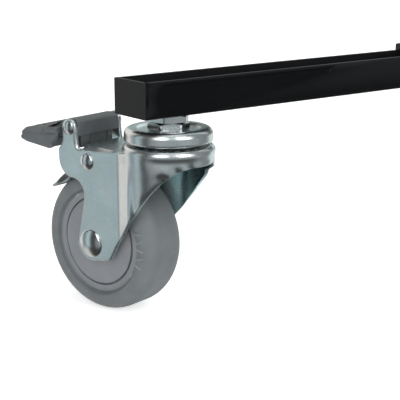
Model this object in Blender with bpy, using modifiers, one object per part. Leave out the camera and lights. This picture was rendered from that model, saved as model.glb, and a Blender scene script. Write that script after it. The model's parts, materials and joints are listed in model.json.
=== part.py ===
"""Tripod dolly: three pressed channel arms on a folding hub, each arm carried by a braked swivel castor.

The arms hold sliding cups for the tripod's feet. Lengths are metres, and +Z is up.
A castor is drawn in its own frame: the swivel axis stands on the floor at the origin,
the wheel trails towards -X, and the side with the rivet heads that is seen first faces -Y.
An arm is drawn in its own frame too: X runs outwards from its hub bolt, and Z is above the floor.
"""

import math

import bmesh
import bpy
from mathutils import Matrix, Vector

MM = 0.001
GAP = 0.3 * MM

# Wheel and tyre
WHEEL_RADIUS = 37.5 * MM
TYRE_HALF_WIDTH = 14.7 * MM
TYRE_SHOULDER = 8.7 * MM
TYRE_SEAT_RADIUS = 26.9 * MM
CORE_HALF_WIDTH = 12.2 * MM
CORE_DISC_RADIUS = 22.9 * MM
CORE_DISC_PROUD = 0.3 * MM
BEARING_RADIUS = 7.1 * MM
AXLE_RADIUS = 4.0 * MM
AXLE_HEAD_RADIUS = 7.3 * MM
AXLE_HEAD_HEIGHT = 2.2 * MM

# Fork, pressed from one sheet
SHEET = 2.3 * MM
LEG_OUTSIDE = 18.0 * MM
SKIRT_RADIUS = 23.6 * MM
CREASE_X = -17.5 * MM
FLARE_ANGLE = 110
TRAIL = 38.1 * MM
AXLE = Vector((-TRAIL, 0, WHEEL_RADIUS))
BACK_PLATE_TOP = 88.6 * MM
BACK_PLATE_FRONT = -16.5 * MM
BACK_PLATE_BACK = -41.0 * MM
BACK_PLATE_INSET = 0.2 * MM
HEAD_TOP = 92.4 * MM
HEAD_BORE = 6.3 * MM
EAR_RADIUS = 4.8 * MM
CASTOR_REACH = 30.0 * MM

# Swivel bearing and threaded stem
RACE_FLOOR = 99.6 * MM
RACE_SHEET = 2.0 * MM
RACE_ROLL = 3.6 * MM
LOWER_RACE_TOP = 89.6 * MM
LOWER_RACE_BOTTOM = 86.5 * MM
LOWER_RACE_RADIUS = 14.5 * MM
BALL_RADIUS = 2.2 * MM
BALL_CIRCLE = 17.0 * MM
KINGPIN_RADIUS = 5.0 * MM
KINGPIN_HEAD_RADIUS = 8.0 * MM
KINGPIN_HEAD_HEIGHT = 1.9 * MM
STEM_RADIUS = 5.9 * MM
STEM_TOP = 122.0 * MM
HEX_ACROSS_FLATS = 19.0 * MM
HEX_TURN = math.radians(-41.7)
NUT_HEIGHT = 9.0 * MM

# Brake
PEDAL_PIVOT = Vector((-52.1 * MM, 0, 97.2 * MM))
PEDAL_PIN_RADIUS = 2.5 * MM
PIN_HEAD_RADIUS = 3.5 * MM
PIN_HEAD_HEIGHT = 1.2 * MM
PEDAL_HALF_WIDTH = 19.5 * MM
PEDAL_WALL = 2.6 * MM
PEDAL_ROUNDING = 0.9 * MM
BARREL_HALF_WIDTH = 15.3 * MM
CAM_HALF_WIDTH = 12.0 * MM
SHOE_PIVOT = Vector((-39.6 * MM, 0, 80.8 * MM))
SHOE_HALF_WIDTH = 12.5 * MM
SHOE_SHEET = 1.4 * MM
SHOE_CLEARANCE = 1.9 * MM
RIVET_RADIUS = 2.8 * MM
RIVET_HEAD_RADIUS = 4.3 * MM
RIVET_HEAD_HEIGHT = 1.6 * MM

# Arms, folded from sheet as channels open at the top
ARM_WIDTH = 27.0 * MM
ARM_HEIGHT = 18.0 * MM
ARM_SHEET = 2.0 * MM
ARM_UNDERSIDE = 108.0 * MM
ARM_TOP = ARM_UNDERSIDE + ARM_HEIGHT
ARM_INNER_END = -16.0 * MM
ARM_OVERHANG = 23.0 * MM
PANEL_DEPTH = 0.8 * MM
CASTOR_CIRCLE = 430.0 * MM
CASTOR_TURN = math.radians(14.34)

# Hub
HUB_BOLT_CIRCLE = 50.0 * MM
HUB_LOBE_RADIUS = 24.0 * MM
HUB_PLATE = 3.0 * MM
HUB_BOLT_RADIUS = 4.0 * MM
HUB_BOLT_FLATS = 13.0 * MM
HUB_BOLT_HEAD = 5.3 * MM
HUB_NUT_HEIGHT = 6.5 * MM
FIXED_BOLT_SPREAD = 11.0 * MM
SPACER_RADIUS = 11.0 * MM
KNOB_SHANK_RADIUS = 5.0 * MM
KNOB_NECK_RADIUS = 9.0 * MM
KNOB_NECK = 3.0 * MM
KNOB_RADIUS = 21.0 * MM
KNOB_HEIGHT = 15.0 * MM
KNOB_ROUNDING = 0.8 * MM
KNOB_NUT_FLATS = 17.0 * MM
KNOB_NUT_HEIGHT = 8.0 * MM
HUB_CLAMP_TOP = ARM_TOP + HUB_PLATE + 2 * GAP
HUB_CLAMP_BOTTOM = ARM_UNDERSIDE - HUB_PLATE - 2 * GAP

# Sliding foot cups
CUP_CIRCLE = 225.0 * MM
CUP_RADIUS = 26.0 * MM
CUP_WALL = 3.5 * MM
CUP_FLOOR = 3.0 * MM
CUP_DEPTH = 16.0 * MM
SADDLE_HALF_LENGTH = 24.0 * MM
SADDLE_WALL = 3.5 * MM
SADDLE_DROP = 15.0 * MM
FOOT_SCREW_RADIUS = 3.0 * MM
FOOT_SCREW_DROP = 7.5 * MM
FOOT_KNOB_RADIUS = 8.0 * MM
FOOT_KNOB_LENGTH = 9.0 * MM

ROUND_STEPS = 24
RACE_STEPS = 20
AXLE_STEPS = 16
SMALL_ROUND_STEPS = 12
PIN_HOLE_STEPS = 8

ARM_HEADINGS = {1: math.radians(-90), 2: math.radians(30), 3: math.radians(150)}

COLOURS = {
    "zinc": ((0.62, 0.66, 0.67), 0.28, 1.0),
    "black_steel": ((0.02, 0.02, 0.022), 0.45, 0.0),
    "grey_tyre": ((0.19, 0.21, 0.21), 0.6, 0.0),
    "grey_core": ((0.22, 0.22, 0.24), 0.5, 0.0),
    "grey_nylon": ((0.10, 0.11, 0.12), 0.5, 0.0),
    "black_nylon": ((0.03, 0.03, 0.032), 0.55, 0.0),
}


def start_clean():
    """Empty the file and make the collection that the parts go in."""
    for old in list(bpy.data.objects):
        bpy.data.objects.remove(old, do_unlink=True)
    parts = bpy.data.collections.new("tripod_dolly")
    bpy.context.scene.collection.children.link(parts)
    return parts


def make_materials():
    """One Principled material for each finish."""
    made = {}
    for name, (colour, roughness, metallic) in COLOURS.items():
        finish = bpy.data.materials.new(name)
        finish.use_nodes = True
        shader = finish.node_tree.nodes["Principled BSDF"]
        shader.inputs["Base Color"].default_value = (*colour, 1.0)
        shader.inputs["Roughness"].default_value = roughness
        shader.inputs["Metallic"].default_value = metallic
        made[name] = finish
    return made


def link(mesh, name="shape"):
    """Put a mesh in the scene as an object."""
    made = bpy.data.objects.new(name, mesh)
    bpy.context.scene.collection.objects.link(made)
    return made


def settle(shape):
    """Replace a shape with its evaluated mesh: modifiers applied, caps welded, faces pointing out."""
    bpy.context.view_layer.update()
    evaluated = shape.evaluated_get(bpy.context.evaluated_depsgraph_get())
    mesh = bpy.data.meshes.new_from_object(evaluated)
    mesh.transform(shape.matrix_world)
    bpy.data.objects.remove(shape, do_unlink=True)
    work = bmesh.new()
    work.from_mesh(mesh)
    bmesh.ops.remove_doubles(work, verts=work.verts, dist=0.002 * MM)
    bmesh.ops.recalc_face_normals(work, faces=work.faces)
    work.to_mesh(mesh)
    work.free()
    return link(mesh)


def combine(shape, other, operation):
    """Cut, join or intersect two shapes, and keep the result."""
    change = shape.modifiers.new("change", "BOOLEAN")
    change.operation = operation
    change.object = other
    change.solver = "EXACT"
    made = settle(shape)
    bpy.data.objects.remove(other, do_unlink=True)
    return made


def cut(shape, other):
    """Take the other shape out of this one."""
    return combine(shape, other, "DIFFERENCE")


def join(shape, other):
    """Weld two shapes into one solid."""
    return combine(shape, other, "UNION")


def box(low, high):
    """A block between two corners."""
    low, high = Vector(low), Vector(high)
    work = bmesh.new()
    bmesh.ops.create_cube(work, size=1.0)
    size = high - low
    bmesh.ops.scale(work, vec=size, verts=work.verts)
    bmesh.ops.translate(work, vec=(low + high) / 2, verts=work.verts)
    mesh = bpy.data.meshes.new("box")
    work.to_mesh(mesh)
    work.free()
    return link(mesh)


def bevelled(shape, width):
    """Break the edges of a shape."""
    rounding = shape.modifiers.new("rounding", "BEVEL")
    rounding.width = width
    rounding.segments = 1
    return settle(shape)


def cylinder(radius, start, end, steps=SMALL_ROUND_STEPS, turn=0.0):
    """A round or many-sided bar from one point to another."""
    start, end = Vector(start), Vector(end)
    along = end - start
    work = bmesh.new()
    bmesh.ops.create_cone(work, cap_ends=True, segments=steps, radius1=radius, radius2=radius,
                          depth=along.length)
    spin = Matrix.Rotation(turn, 4, "Z")
    aim = along.to_track_quat("Z", "Y").to_matrix().to_4x4()
    bmesh.ops.transform(work, matrix=Matrix.Translation((start + end) / 2) @ aim @ spin, verts=work.verts)
    mesh = bpy.data.meshes.new("bar")
    work.to_mesh(mesh)
    work.free()
    return link(mesh)


def post(radius, low, high, steps=SMALL_ROUND_STEPS):
    """An upright round bar on the Z axis."""
    return cylinder(radius, (0, 0, low), (0, 0, high), steps)


def hexagon(across_flats, low, high, turn=0.0):
    """An upright six-sided bar, one of whose faces looks along the turn."""
    return cylinder(across_flats / math.sqrt(3), (0, 0, low), (0, 0, high), 6, turn)


def drilled(shape, radius, x, y, low, high):
    """A shape with an upright hole, a gap wider than what goes through it."""
    return cut(shape, cylinder(radius + GAP, (x, y, low - MM), (x, y, high + MM)))


def cross_drilled(shape, radius, at, steps=SMALL_ROUND_STEPS):
    """A castor piece with a hole from side to side."""
    across = Vector((0, CASTOR_REACH, 0))
    return cut(shape, cylinder(radius + GAP, at - across, at + across, steps))


def turned(profile, steps=ROUND_STEPS, axis="Z", at=(0, 0, 0)):
    """An outline of (radius, height) points turned about an axis: a ring, or a bar if it starts on it."""
    mesh = bpy.data.meshes.new("profile")
    points = [(radius, 0, height) for radius, height in profile]
    edges = [(i, i + 1) for i in range(len(points) - 1)]
    if profile[0][0] > 0:
        edges.append((len(points) - 1, 0))
    mesh.from_pydata(points, edges, [])
    shape = link(mesh)
    screw = shape.modifiers.new("turn", "SCREW")
    screw.steps = steps
    screw.render_steps = steps
    screw.use_merge_vertices = True
    screw.merge_threshold = 0.01 * MM
    made = settle(shape)
    if axis == "Y":
        made.data.transform(Matrix.Rotation(math.radians(-90), 4, "X"))
    made.data.transform(Matrix.Translation(Vector(at)))
    return made


def ring(bore, radius, low, high, steps=ROUND_STEPS, axis="Z", at=(0, 0, 0)):
    """A plain ring between two distances along its axis."""
    return turned([(bore, high), (radius, high), (radius, low), (bore, low)], steps, axis, at)


def extruded(outline, low, high, plane="XZ"):
    """A flat outline made solid between two distances along the axis that it faces."""
    curve = bpy.data.curves.new("outline", "CURVE")
    curve.dimensions = "2D"
    curve.fill_mode = "BOTH"
    curve.extrude = (high - low) / 2
    spline = curve.splines.new("POLY")
    spline.points.add(len(outline) - 1)
    for point, (a, b) in zip(spline.points, outline):
        point.co = (a, b, 0, 1)
    spline.use_cyclic_u = True
    shape = bpy.data.objects.new("outline", curve)
    bpy.context.scene.collection.objects.link(shape)
    middle = (low + high) / 2
    if plane == "XZ":
        shape.matrix_world = Matrix.Translation((0, middle, 0)) @ Matrix.Rotation(math.radians(90), 4, "X")
    else:
        shape.matrix_world = Matrix.Translation((0, 0, middle))
    return settle(shape)


def arc(centre, radius, start, end, steps):
    """Points along an arc between two angles in degrees."""
    points = []
    for i in range(steps + 1):
        angle = math.radians(start + (end - start) * i / steps)
        points.append((centre[0] + radius * math.cos(angle), centre[1] + radius * math.sin(angle)))
    return points


def in_metres(points):
    """Millimetre points as metres."""
    return [(a * MM, b * MM) for a, b in points]


def folded_sheet(path, low, high, sheet, along="Z"):
    """A bent strip of sheet along a path, from low to high, with its thickness inside the bends."""
    work = bmesh.new()
    rows = []
    for a, b in path:
        if along == "Z":
            rows.append([work.verts.new((a, b, low)), work.verts.new((a, b, high))])
        else:
            rows.append([work.verts.new((a, low, b)), work.verts.new((a, high, b))])
    for first, second in zip(rows, rows[1:]):
        work.faces.new((first[0], second[0], second[1], first[1]))
    mesh = bpy.data.meshes.new("sheet")
    work.to_mesh(mesh)
    work.free()
    shape = link(mesh)
    thicken = shape.modifiers.new("sheet", "SOLIDIFY")
    thicken.thickness = sheet
    thicken.offset = 1.0
    thicken.use_even_offset = True
    return settle(shape)


def dome_pin(radius, head_radius, head_height, at, steps=SMALL_ROUND_STEPS):
    """A rivet across the fork, with a low domed head outside each leg."""
    foot = LEG_OUTSIDE + GAP
    half = [(0, foot + head_height), (head_radius * 0.6, foot + head_height * 0.8),
            (head_radius, foot + head_height * 0.25), (head_radius, foot), (radius, foot)]
    other = [(reach, -across) for reach, across in half[::-1]]
    return turned(half + other, steps, "Y", at)


def fork_plan():
    """The fork's outer wall seen from above: two flat legs, flared at the crease to a round front."""
    back = -62.0 * MM
    far = [(back, LEG_OUTSIDE), (CREASE_X, LEG_OUTSIDE)]
    front = arc((0, 0), SKIRT_RADIUS, FLARE_ANGLE, -FLARE_ANGLE, 14)
    near = [(CREASE_X, -LEG_OUTSIDE), (back, -LEG_OUTSIDE)]
    return far + front + near


def fork_side():
    """The fork's outline from the side: from the axle boss up the back, over the ear and down the front."""
    boss = arc((-38.1, 37.5), 9.2, 270, 186, 5)
    back_edge = [(-45.6, 44.5), (-43.2, 56.0)]
    hollow = arc((-50.5, 62.6), 8.3, 0, 90, 4)
    haunch = arc((-50.5, 80.2), 9.3, 270, 184, 4)
    step = [(-60.0, 85.0), (-58.6, 87.0), (-57.2, 89.6)]
    ear = arc((-52.3, 96.6), EAR_RADIUS / MM, 180, 0, 7)
    shoulder = [(-46.9, 89.6), (-46.2, 87.6), (-44.2, 86.5), (-41.6, 86.3)]
    top = [(-41.0, 88.3), (-26.0, 88.3), (-20.0, 90.0), (26.0, 90.0)]
    front = [(26.0, 83.8), (21.8, 83.6), (18.6, 82.2), (15.2, 79.6), (6.7, 71.1), (-2.4, 61.4), (-11.4, 50.8)]
    toe = [(-19.3, 40.4), (-24.2, 31.8), (-26.6, 30.2)]
    return in_metres(boss + back_edge + hollow + haunch + step + ear + shoulder + top + front + toe)


def make_fork():
    """The pressed fork: round head with the ball track, skirt, two legs, back plate and the pedal's ears."""
    wall = folded_sheet(fork_plan(), 20 * MM, 110 * MM, SHEET)
    side = extruded(fork_side(), -CASTOR_REACH, CASTOR_REACH)
    fork = combine(wall, side, "INTERSECT")
    underside = HEAD_TOP - SHEET
    roll = arc((SKIRT_RADIUS - RACE_ROLL, HEAD_TOP - RACE_ROLL), RACE_ROLL, 90, -25, 5)
    rim = [(SKIRT_RADIUS - SHEET, HEAD_TOP - 6.5 * MM), (SKIRT_RADIUS - 1.5 * SHEET, underside)]
    fork = join(fork, turned([(HEAD_BORE, HEAD_TOP)] + roll + rim + [(HEAD_BORE, underside)], RACE_STEPS))
    half_width = LEG_OUTSIDE - BACK_PLATE_INSET
    plate = box((BACK_PLATE_BACK, -half_width, BACK_PLATE_TOP - SHEET),
                (BACK_PLATE_FRONT, half_width, BACK_PLATE_TOP))
    fork = join(fork, plate)
    for radius, at in ((AXLE_RADIUS, AXLE), (RIVET_RADIUS, SHOE_PIVOT), (PEDAL_PIN_RADIUS, PEDAL_PIVOT)):
        fork = cross_drilled(fork, radius + GAP, at, PIN_HOLE_STEPS)
    return fork


def make_stem():
    """The threaded stem: kingpin through the swivel, a hexagon to turn it by, and the thread above."""
    collar_low = RACE_FLOOR + GAP
    collar_high = ARM_UNDERSIDE - GAP
    head_top = LOWER_RACE_BOTTOM - 1.5 * GAP
    stem = hexagon(HEX_ACROSS_FLATS, collar_low, collar_high, HEX_TURN)
    stem = join(stem, post(KINGPIN_RADIUS, head_top - MM, collar_low + MM))
    stem = join(stem, post(KINGPIN_HEAD_RADIUS, head_top - KINGPIN_HEAD_HEIGHT, head_top))
    return join(stem, post(STEM_RADIUS, collar_high - MM, STEM_TOP))


def make_stem_nut():
    """The nut that holds the stem in the arm."""
    low = ARM_UNDERSIDE + ARM_SHEET + GAP
    high = low + NUT_HEIGHT
    return drilled(hexagon(HEX_ACROSS_FLATS, low, high), STEM_RADIUS, 0, 0, low, high)


def make_upper_race():
    """The pressed cap over the balls, dished at the middle and rolled at the rim."""
    bore = KINGPIN_RADIUS + GAP
    underside = RACE_FLOOR - RACE_SHEET
    roll = arc((18.9 * MM, 97.4 * MM), RACE_ROLL, 90, -35, 5)
    rim = in_metres([(21.9, 93.9), (20.3, 93.9)])
    floor = [(bore, RACE_FLOOR), (14.5 * MM, RACE_FLOOR)]
    return turned(floor + roll + rim + [(19.6 * MM, underside), (bore, underside)], RACE_STEPS)


def make_ball_ring():
    """The ring of bearing balls under the cap, drawn as one round ring."""
    height = (HEAD_TOP + RACE_FLOOR - RACE_SHEET) / 2
    return turned(arc((BALL_CIRCLE, height), BALL_RADIUS, 90, -210, 5), RACE_STEPS)


def make_lower_race():
    """The hardened washer under the fork's head, held by the kingpin's rivet head."""
    return ring(KINGPIN_RADIUS + GAP, LOWER_RACE_RADIUS, LOWER_RACE_BOTTOM, LOWER_RACE_TOP, RACE_STEPS)


def make_axle():
    """The axle, riveted over at both ends."""
    return dome_pin(AXLE_RADIUS, AXLE_HEAD_RADIUS, AXLE_HEAD_HEIGHT, AXLE, AXLE_STEPS)


def make_brake_rivet():
    """The rivet that the brake shoe rocks on."""
    return dome_pin(RIVET_RADIUS, RIVET_HEAD_RADIUS, RIVET_HEAD_HEIGHT, SHOE_PIVOT)


def make_pedal_pin():
    """The pin that the pedal turns on."""
    return dome_pin(PEDAL_PIN_RADIUS, PIN_HEAD_RADIUS, PIN_HEAD_HEIGHT, PEDAL_PIVOT)


def make_tyre():
    """The soft tyre, with a crowned tread and round shoulders."""
    seat = TYRE_SEAT_RADIUS + GAP
    shoulder = (WHEEL_RADIUS - TYRE_SHOULDER, TYRE_HALF_WIDTH - TYRE_SHOULDER)
    half = [(seat, 0), (seat, CORE_HALF_WIDTH + CORE_DISC_PROUD)] + arc(shoulder, TYRE_SHOULDER, 90, 0, 4)
    other = [(reach, -across) for reach, across in half[:0:-1]]
    return turned(half + other, ROUND_STEPS, "Y", AXLE)


def make_wheel_core():
    """The moulded core that the tyre sits on, whose middle stands a little proud of its rim."""
    disc = CORE_HALF_WIDTH + CORE_DISC_PROUD
    half = [(BEARING_RADIUS + GAP, disc), (CORE_DISC_RADIUS, disc), (TYRE_SEAT_RADIUS, CORE_HALF_WIDTH)]
    other = [(reach, -across) for reach, across in half[::-1]]
    return turned(half + other, ROUND_STEPS, "Y", AXLE)


def make_hub_bearing():
    """The plain bush that the wheel turns on."""
    half_length = LEG_OUTSIDE - SHEET - GAP
    return ring(AXLE_RADIUS + GAP, BEARING_RADIUS, -half_length, half_length, SMALL_ROUND_STEPS, "Y", AXLE)


def make_pedal():
    """The moulded pedal: a flat-faced barrel between the ears, the cam below it, and the tread behind."""
    barrel = in_metres([(-47.6, 92.8), (-47.6, 99.6), (-49.0, 101.2), (-55.0, 101.2), (-63.0, 98.4),
                        (-64.0, 91.4), (-56.6, 91.0)])
    cam = in_metres([(-48.9, 94.0), (-55.4, 94.0), (-55.4, 88.6), (-53.4, 86.9), (-50.6, 86.9),
                     (-48.9, 88.6)])
    tread = in_metres([(-62.2, 89.8), (-62.2, 98.2), (-84.2, 93.4), (-86.4, 92.2), (-87.0, 90.2),
                       (-86.0, 87.6), (-82.0, 86.3), (-68.2, 84.9), (-65.4, 85.4)])
    hollow = in_metres([(-66.0, 80.0), (-66.0, 94.0), (-83.0, 90.2), (-83.4, 80.0)])
    pedal = extruded(barrel, -BARREL_HALF_WIDTH, BARREL_HALF_WIDTH)
    pedal = join(pedal, extruded(cam, -CAM_HALF_WIDTH, CAM_HALF_WIDTH))
    plate = bevelled(extruded(tread, -PEDAL_HALF_WIDTH, PEDAL_HALF_WIDTH), PEDAL_ROUNDING)
    inside = PEDAL_HALF_WIDTH - PEDAL_WALL
    plate = cut(plate, extruded(hollow, -inside, inside))
    return cross_drilled(join(pedal, plate), PEDAL_PIN_RADIUS, PEDAL_PIVOT)


def make_shoe():
    """The brake plate: it rocks on its rivet, and its curved tail comes down on the tyre."""
    wheel_centre = (AXLE.x / MM, AXLE.z / MM)
    outside = (WHEEL_RADIUS + SHOE_CLEARANCE + SHOE_SHEET) / MM
    front = [(-24.0, 84.6), (-34.0, 85.3), (-46.0, 85.6), (-52.5, 84.6), (-56.4, 81.0)]
    tail = arc(wheel_centre, outside, 118, 137, 4)
    lip = [(-71.0, 63.4)]
    plate = folded_sheet(in_metres(front + tail + lip), -SHOE_HALF_WIDTH, SHOE_HALF_WIDTH, SHOE_SHEET, "Y")
    lug = in_metres([(-34.6, 84.6), (-34.8, 79.4), (-37.4, 76.9), (-41.8, 76.9), (-44.4, 79.4),
                     (-44.8, 84.6)])
    for low in (-SHOE_HALF_WIDTH, SHOE_HALF_WIDTH - SHOE_SHEET):
        plate = join(plate, extruded(lug, low, low + SHOE_SHEET))
    return cross_drilled(plate, RIVET_RADIUS, SHOE_PIVOT)


def arm_panel():
    """The pressed panel on an arm's side: tall with round corners near the end, tapering towards the hub."""
    lower = arc((13.6, 7.7), 7.0, 180, 270, 5)
    upper = arc((13.6, 9.6), 7.0, 90, 180, 5)
    rise = [(42.0, 0.8), (50.0, 2.2), (130.0, 15.4), (130.6, 16.6)]
    return in_metres(upper + lower + rise)


def make_arm():
    """A channel arm, closed at its outer end, with the castor's hole and a pressed panel on both sides."""
    stem_x = CASTOR_CIRCLE - HUB_BOLT_CIRCLE
    outer_end = stem_x + ARM_OVERHANG
    half = ARM_WIDTH / 2
    inside = half - ARM_SHEET
    floor_top = ARM_UNDERSIDE + ARM_SHEET
    arm = box((ARM_INNER_END, -half, ARM_UNDERSIDE), (outer_end, half, ARM_TOP))
    arm = cut(arm, box((ARM_INNER_END - MM, -inside, floor_top),
                       (outer_end - ARM_SHEET, inside, ARM_TOP + MM)))
    panel = [(outer_end - along, ARM_UNDERSIDE + up) for along, up in arm_panel()]
    arm = cut(arm, extruded(panel, -half - MM, -half + PANEL_DEPTH))
    arm = cut(arm, extruded(panel, half - PANEL_DEPTH, half + MM))
    return drilled(arm, STEM_RADIUS, stem_x, 0, ARM_UNDERSIDE, floor_top)


def star_knob(radius, low, high, lobes):
    """A hand knob with scalloped sides, upright."""
    steps = lobes * 4
    outline = []
    for i in range(steps):
        angle = 2 * math.pi * i / steps
        reach = radius * (0.92 + 0.08 * math.cos(lobes * angle))
        outline.append((reach * math.cos(angle), reach * math.sin(angle)))
    return extruded(outline, low, high, "XY")


def make_foot_cup():
    """The sliding cup: a saddle over the arm with a round cup on top for one tripod foot."""
    inner = ARM_WIDTH / 2 + GAP
    outer = inner + SADDLE_WALL
    low = ARM_TOP - SADDLE_DROP
    seat = ARM_TOP + GAP
    floor = seat + CUP_FLOOR
    rim = floor + CUP_DEPTH
    bore = CUP_RADIUS - CUP_WALL
    saddle = box((-SADDLE_HALF_LENGTH, -outer, low), (SADDLE_HALF_LENGTH, outer, floor))
    saddle = cut(saddle, box((-CUP_RADIUS, -inner, low - MM), (CUP_RADIUS, inner, seat)))
    wall = [(bore + MM, rim), (CUP_RADIUS, rim), (CUP_RADIUS - MM, floor - 2 * MM)]
    base = [(bore - 6 * MM, floor - 2 * MM), (bore - 6 * MM, floor - MM), (bore - MM, floor - MM)]
    cup = join(saddle, turned(wall + base))
    screw_height = ARM_TOP - FOOT_SCREW_DROP
    start, end = (0, inner - MM, screw_height), (0, outer + MM, screw_height)
    return cut(cup, cylinder(FOOT_SCREW_RADIUS + GAP, start, end))


def make_foot_screw():
    """The thumb screw that clamps the cup's saddle to the arm, pointing along +Y."""
    tip = ARM_WIDTH / 2 + GAP
    knob_start = tip + SADDLE_WALL + GAP
    screw = join(post(FOOT_SCREW_RADIUS, tip, knob_start + MM),
                 star_knob(FOOT_KNOB_RADIUS, knob_start, knob_start + FOOT_KNOB_LENGTH, 6))
    screw.data.transform(Matrix.Rotation(math.radians(-90), 4, "X"))
    return screw


def hub_outline():
    """The hub plates' outline: three round lobes joined by straight sides."""
    points = []
    for heading in ARM_HEADINGS.values():
        centre = (HUB_BOLT_CIRCLE * math.cos(heading), HUB_BOLT_CIRCLE * math.sin(heading))
        middle = math.degrees(heading)
        points += arc(centre, HUB_LOBE_RADIUS, middle - 60, middle + 60, 6)
    return points


def bolt_places():
    """Where the hub bolts stand: two hold the fixed arm, and one is the pivot of each folding arm."""
    circles = {"hub_bolt_1": (1, HUB_BOLT_CIRCLE - FIXED_BOLT_SPREAD),
               "hub_bolt_2": (1, HUB_BOLT_CIRCLE + FIXED_BOLT_SPREAD),
               "pivot_bolt_2": (2, HUB_BOLT_CIRCLE),
               "pivot_bolt_3": (3, HUB_BOLT_CIRCLE)}
    spots = {}
    for name, (number, circle) in circles.items():
        heading = ARM_HEADINGS[number]
        spots[name] = (circle * math.cos(heading), circle * math.sin(heading))
    return spots


def make_hub_plate(low):
    """One of the two hub plates, drilled for the bolts and the middle knob."""
    high = low + HUB_PLATE
    plate = extruded(hub_outline(), low, high, "XY")
    for x, y in bolt_places().values():
        plate = drilled(plate, HUB_BOLT_RADIUS, x, y, low, high)
    return drilled(plate, KNOB_SHANK_RADIUS, 0, 0, low, high)


def make_hub_bolt():
    """A hub bolt with its head on top and its nut below."""
    nut_bottom = HUB_CLAMP_BOTTOM - HUB_NUT_HEIGHT
    bolt = post(HUB_BOLT_RADIUS, nut_bottom - MM, HUB_CLAMP_TOP + MM)
    bolt = join(bolt, hexagon(HUB_BOLT_FLATS, HUB_CLAMP_TOP, HUB_CLAMP_TOP + HUB_BOLT_HEAD))
    return join(bolt, hexagon(HUB_BOLT_FLATS, nut_bottom, HUB_CLAMP_BOTTOM))


def make_hub_spacer():
    """The tube that holds the hub plates apart round the middle bolt."""
    return ring(KNOB_SHANK_RADIUS + GAP, SPACER_RADIUS, ARM_UNDERSIDE, ARM_TOP, RACE_STEPS)


def make_hub_knob():
    """The middle hand knob and its bolt, which clamp the plates on the arms."""
    knob_low = HUB_CLAMP_TOP + KNOB_NECK
    nut_bottom = HUB_CLAMP_BOTTOM - KNOB_NUT_HEIGHT
    knob = bevelled(star_knob(KNOB_RADIUS, knob_low, knob_low + KNOB_HEIGHT, 7), KNOB_ROUNDING)
    knob = join(knob, post(KNOB_NECK_RADIUS, HUB_CLAMP_TOP, knob_low + MM, ROUND_STEPS))
    knob = join(knob, post(KNOB_SHANK_RADIUS, nut_bottom + MM, HUB_CLAMP_TOP + MM))
    return join(knob, hexagon(KNOB_NUT_FLATS, nut_bottom, HUB_CLAMP_BOTTOM))


def empty(name, parent, at, turn=0.0):
    """A frame that pieces hang from, standing on a joint's axis."""
    made = bpy.data.objects.new(name, None)
    bpy.context.scene.collection.objects.link(made)
    made.parent = parent
    made.location = at
    made.rotation_euler = (0, 0, turn)
    return made


def hang(shape, name, parts, parent):
    """Name an object and put it in the parts' collection under its frame."""
    shape.name = name
    shape.parent = parent
    for collection in list(shape.users_collection):
        collection.objects.unlink(shape)
    parts.objects.link(shape)


def finished(shape, material, origin=(0, 0, 0)):
    """A shape's mesh with its material and smooth shading, moved so that origin becomes its own origin."""
    mesh = shape.data
    bpy.data.objects.remove(shape, do_unlink=True)
    mesh.transform(Matrix.Translation(-Vector(origin)))
    mesh.materials.clear()
    mesh.materials.append(material)
    mesh.shade_smooth()
    mesh.set_sharp_from_angle(angle=math.radians(30))
    return mesh


CASTOR_PIECES = {
    "stem": (make_stem, "zinc", "fixed"),
    "upper_race": (make_upper_race, "zinc", "fixed"),
    "lower_race": (make_lower_race, "zinc", "fixed"),
    "ball_ring": (make_ball_ring, "zinc", "swivel"),
    "fork": (make_fork, "zinc", "swivel"),
    "axle": (make_axle, "zinc", "swivel"),
    "brake_rivet": (make_brake_rivet, "zinc", "swivel"),
    "pedal_pin": (make_pedal_pin, "zinc", "swivel"),
    "tyre": (make_tyre, "grey_tyre", "wheel"),
    "wheel_core": (make_wheel_core, "grey_core", "wheel"),
    "hub_bearing": (make_hub_bearing, "zinc", "wheel"),
    "brake_pedal": (make_pedal, "grey_nylon", "pedal"),
    "brake_shoe": (make_shoe, "zinc", "shoe"),
}

CASTOR_FRAMES = {
    "fixed": Vector((0, 0, 0)),
    "swivel": Vector((0, 0, 0)),
    "wheel": AXLE,
    "pedal": PEDAL_PIVOT,
    "shoe": SHOE_PIVOT,
}


def castor_frames(number, arm_frame):
    """The joints of one castor as frames: the swivel under the arm, and what moves under the swivel."""
    at = (CASTOR_CIRCLE - HUB_BOLT_CIRCLE, 0, 0)
    frames = {"fixed": empty(f"castor_seat_{number}", arm_frame, at, CASTOR_TURN + math.radians(90))}
    frames["swivel"] = empty(f"castor_swivel_{number}", frames["fixed"], CASTOR_FRAMES["swivel"])
    for name in ("wheel", "pedal", "shoe"):
        frames[name] = empty(f"castor_{name}_{number}", frames["swivel"], CASTOR_FRAMES[name])
    return frames


def build_castors(arm_frames, parts, materials):
    """Make each castor piece once, and hang one under every arm."""
    frames = {number: castor_frames(number, arm_frame) for number, arm_frame in arm_frames.items()}
    for piece, (make, finish, frame_name) in CASTOR_PIECES.items():
        mesh = finished(make(), materials[finish], CASTOR_FRAMES[frame_name])
        for number in ARM_HEADINGS:
            hang(link(mesh), f"{piece}_{number}", parts, frames[number][frame_name])


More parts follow.
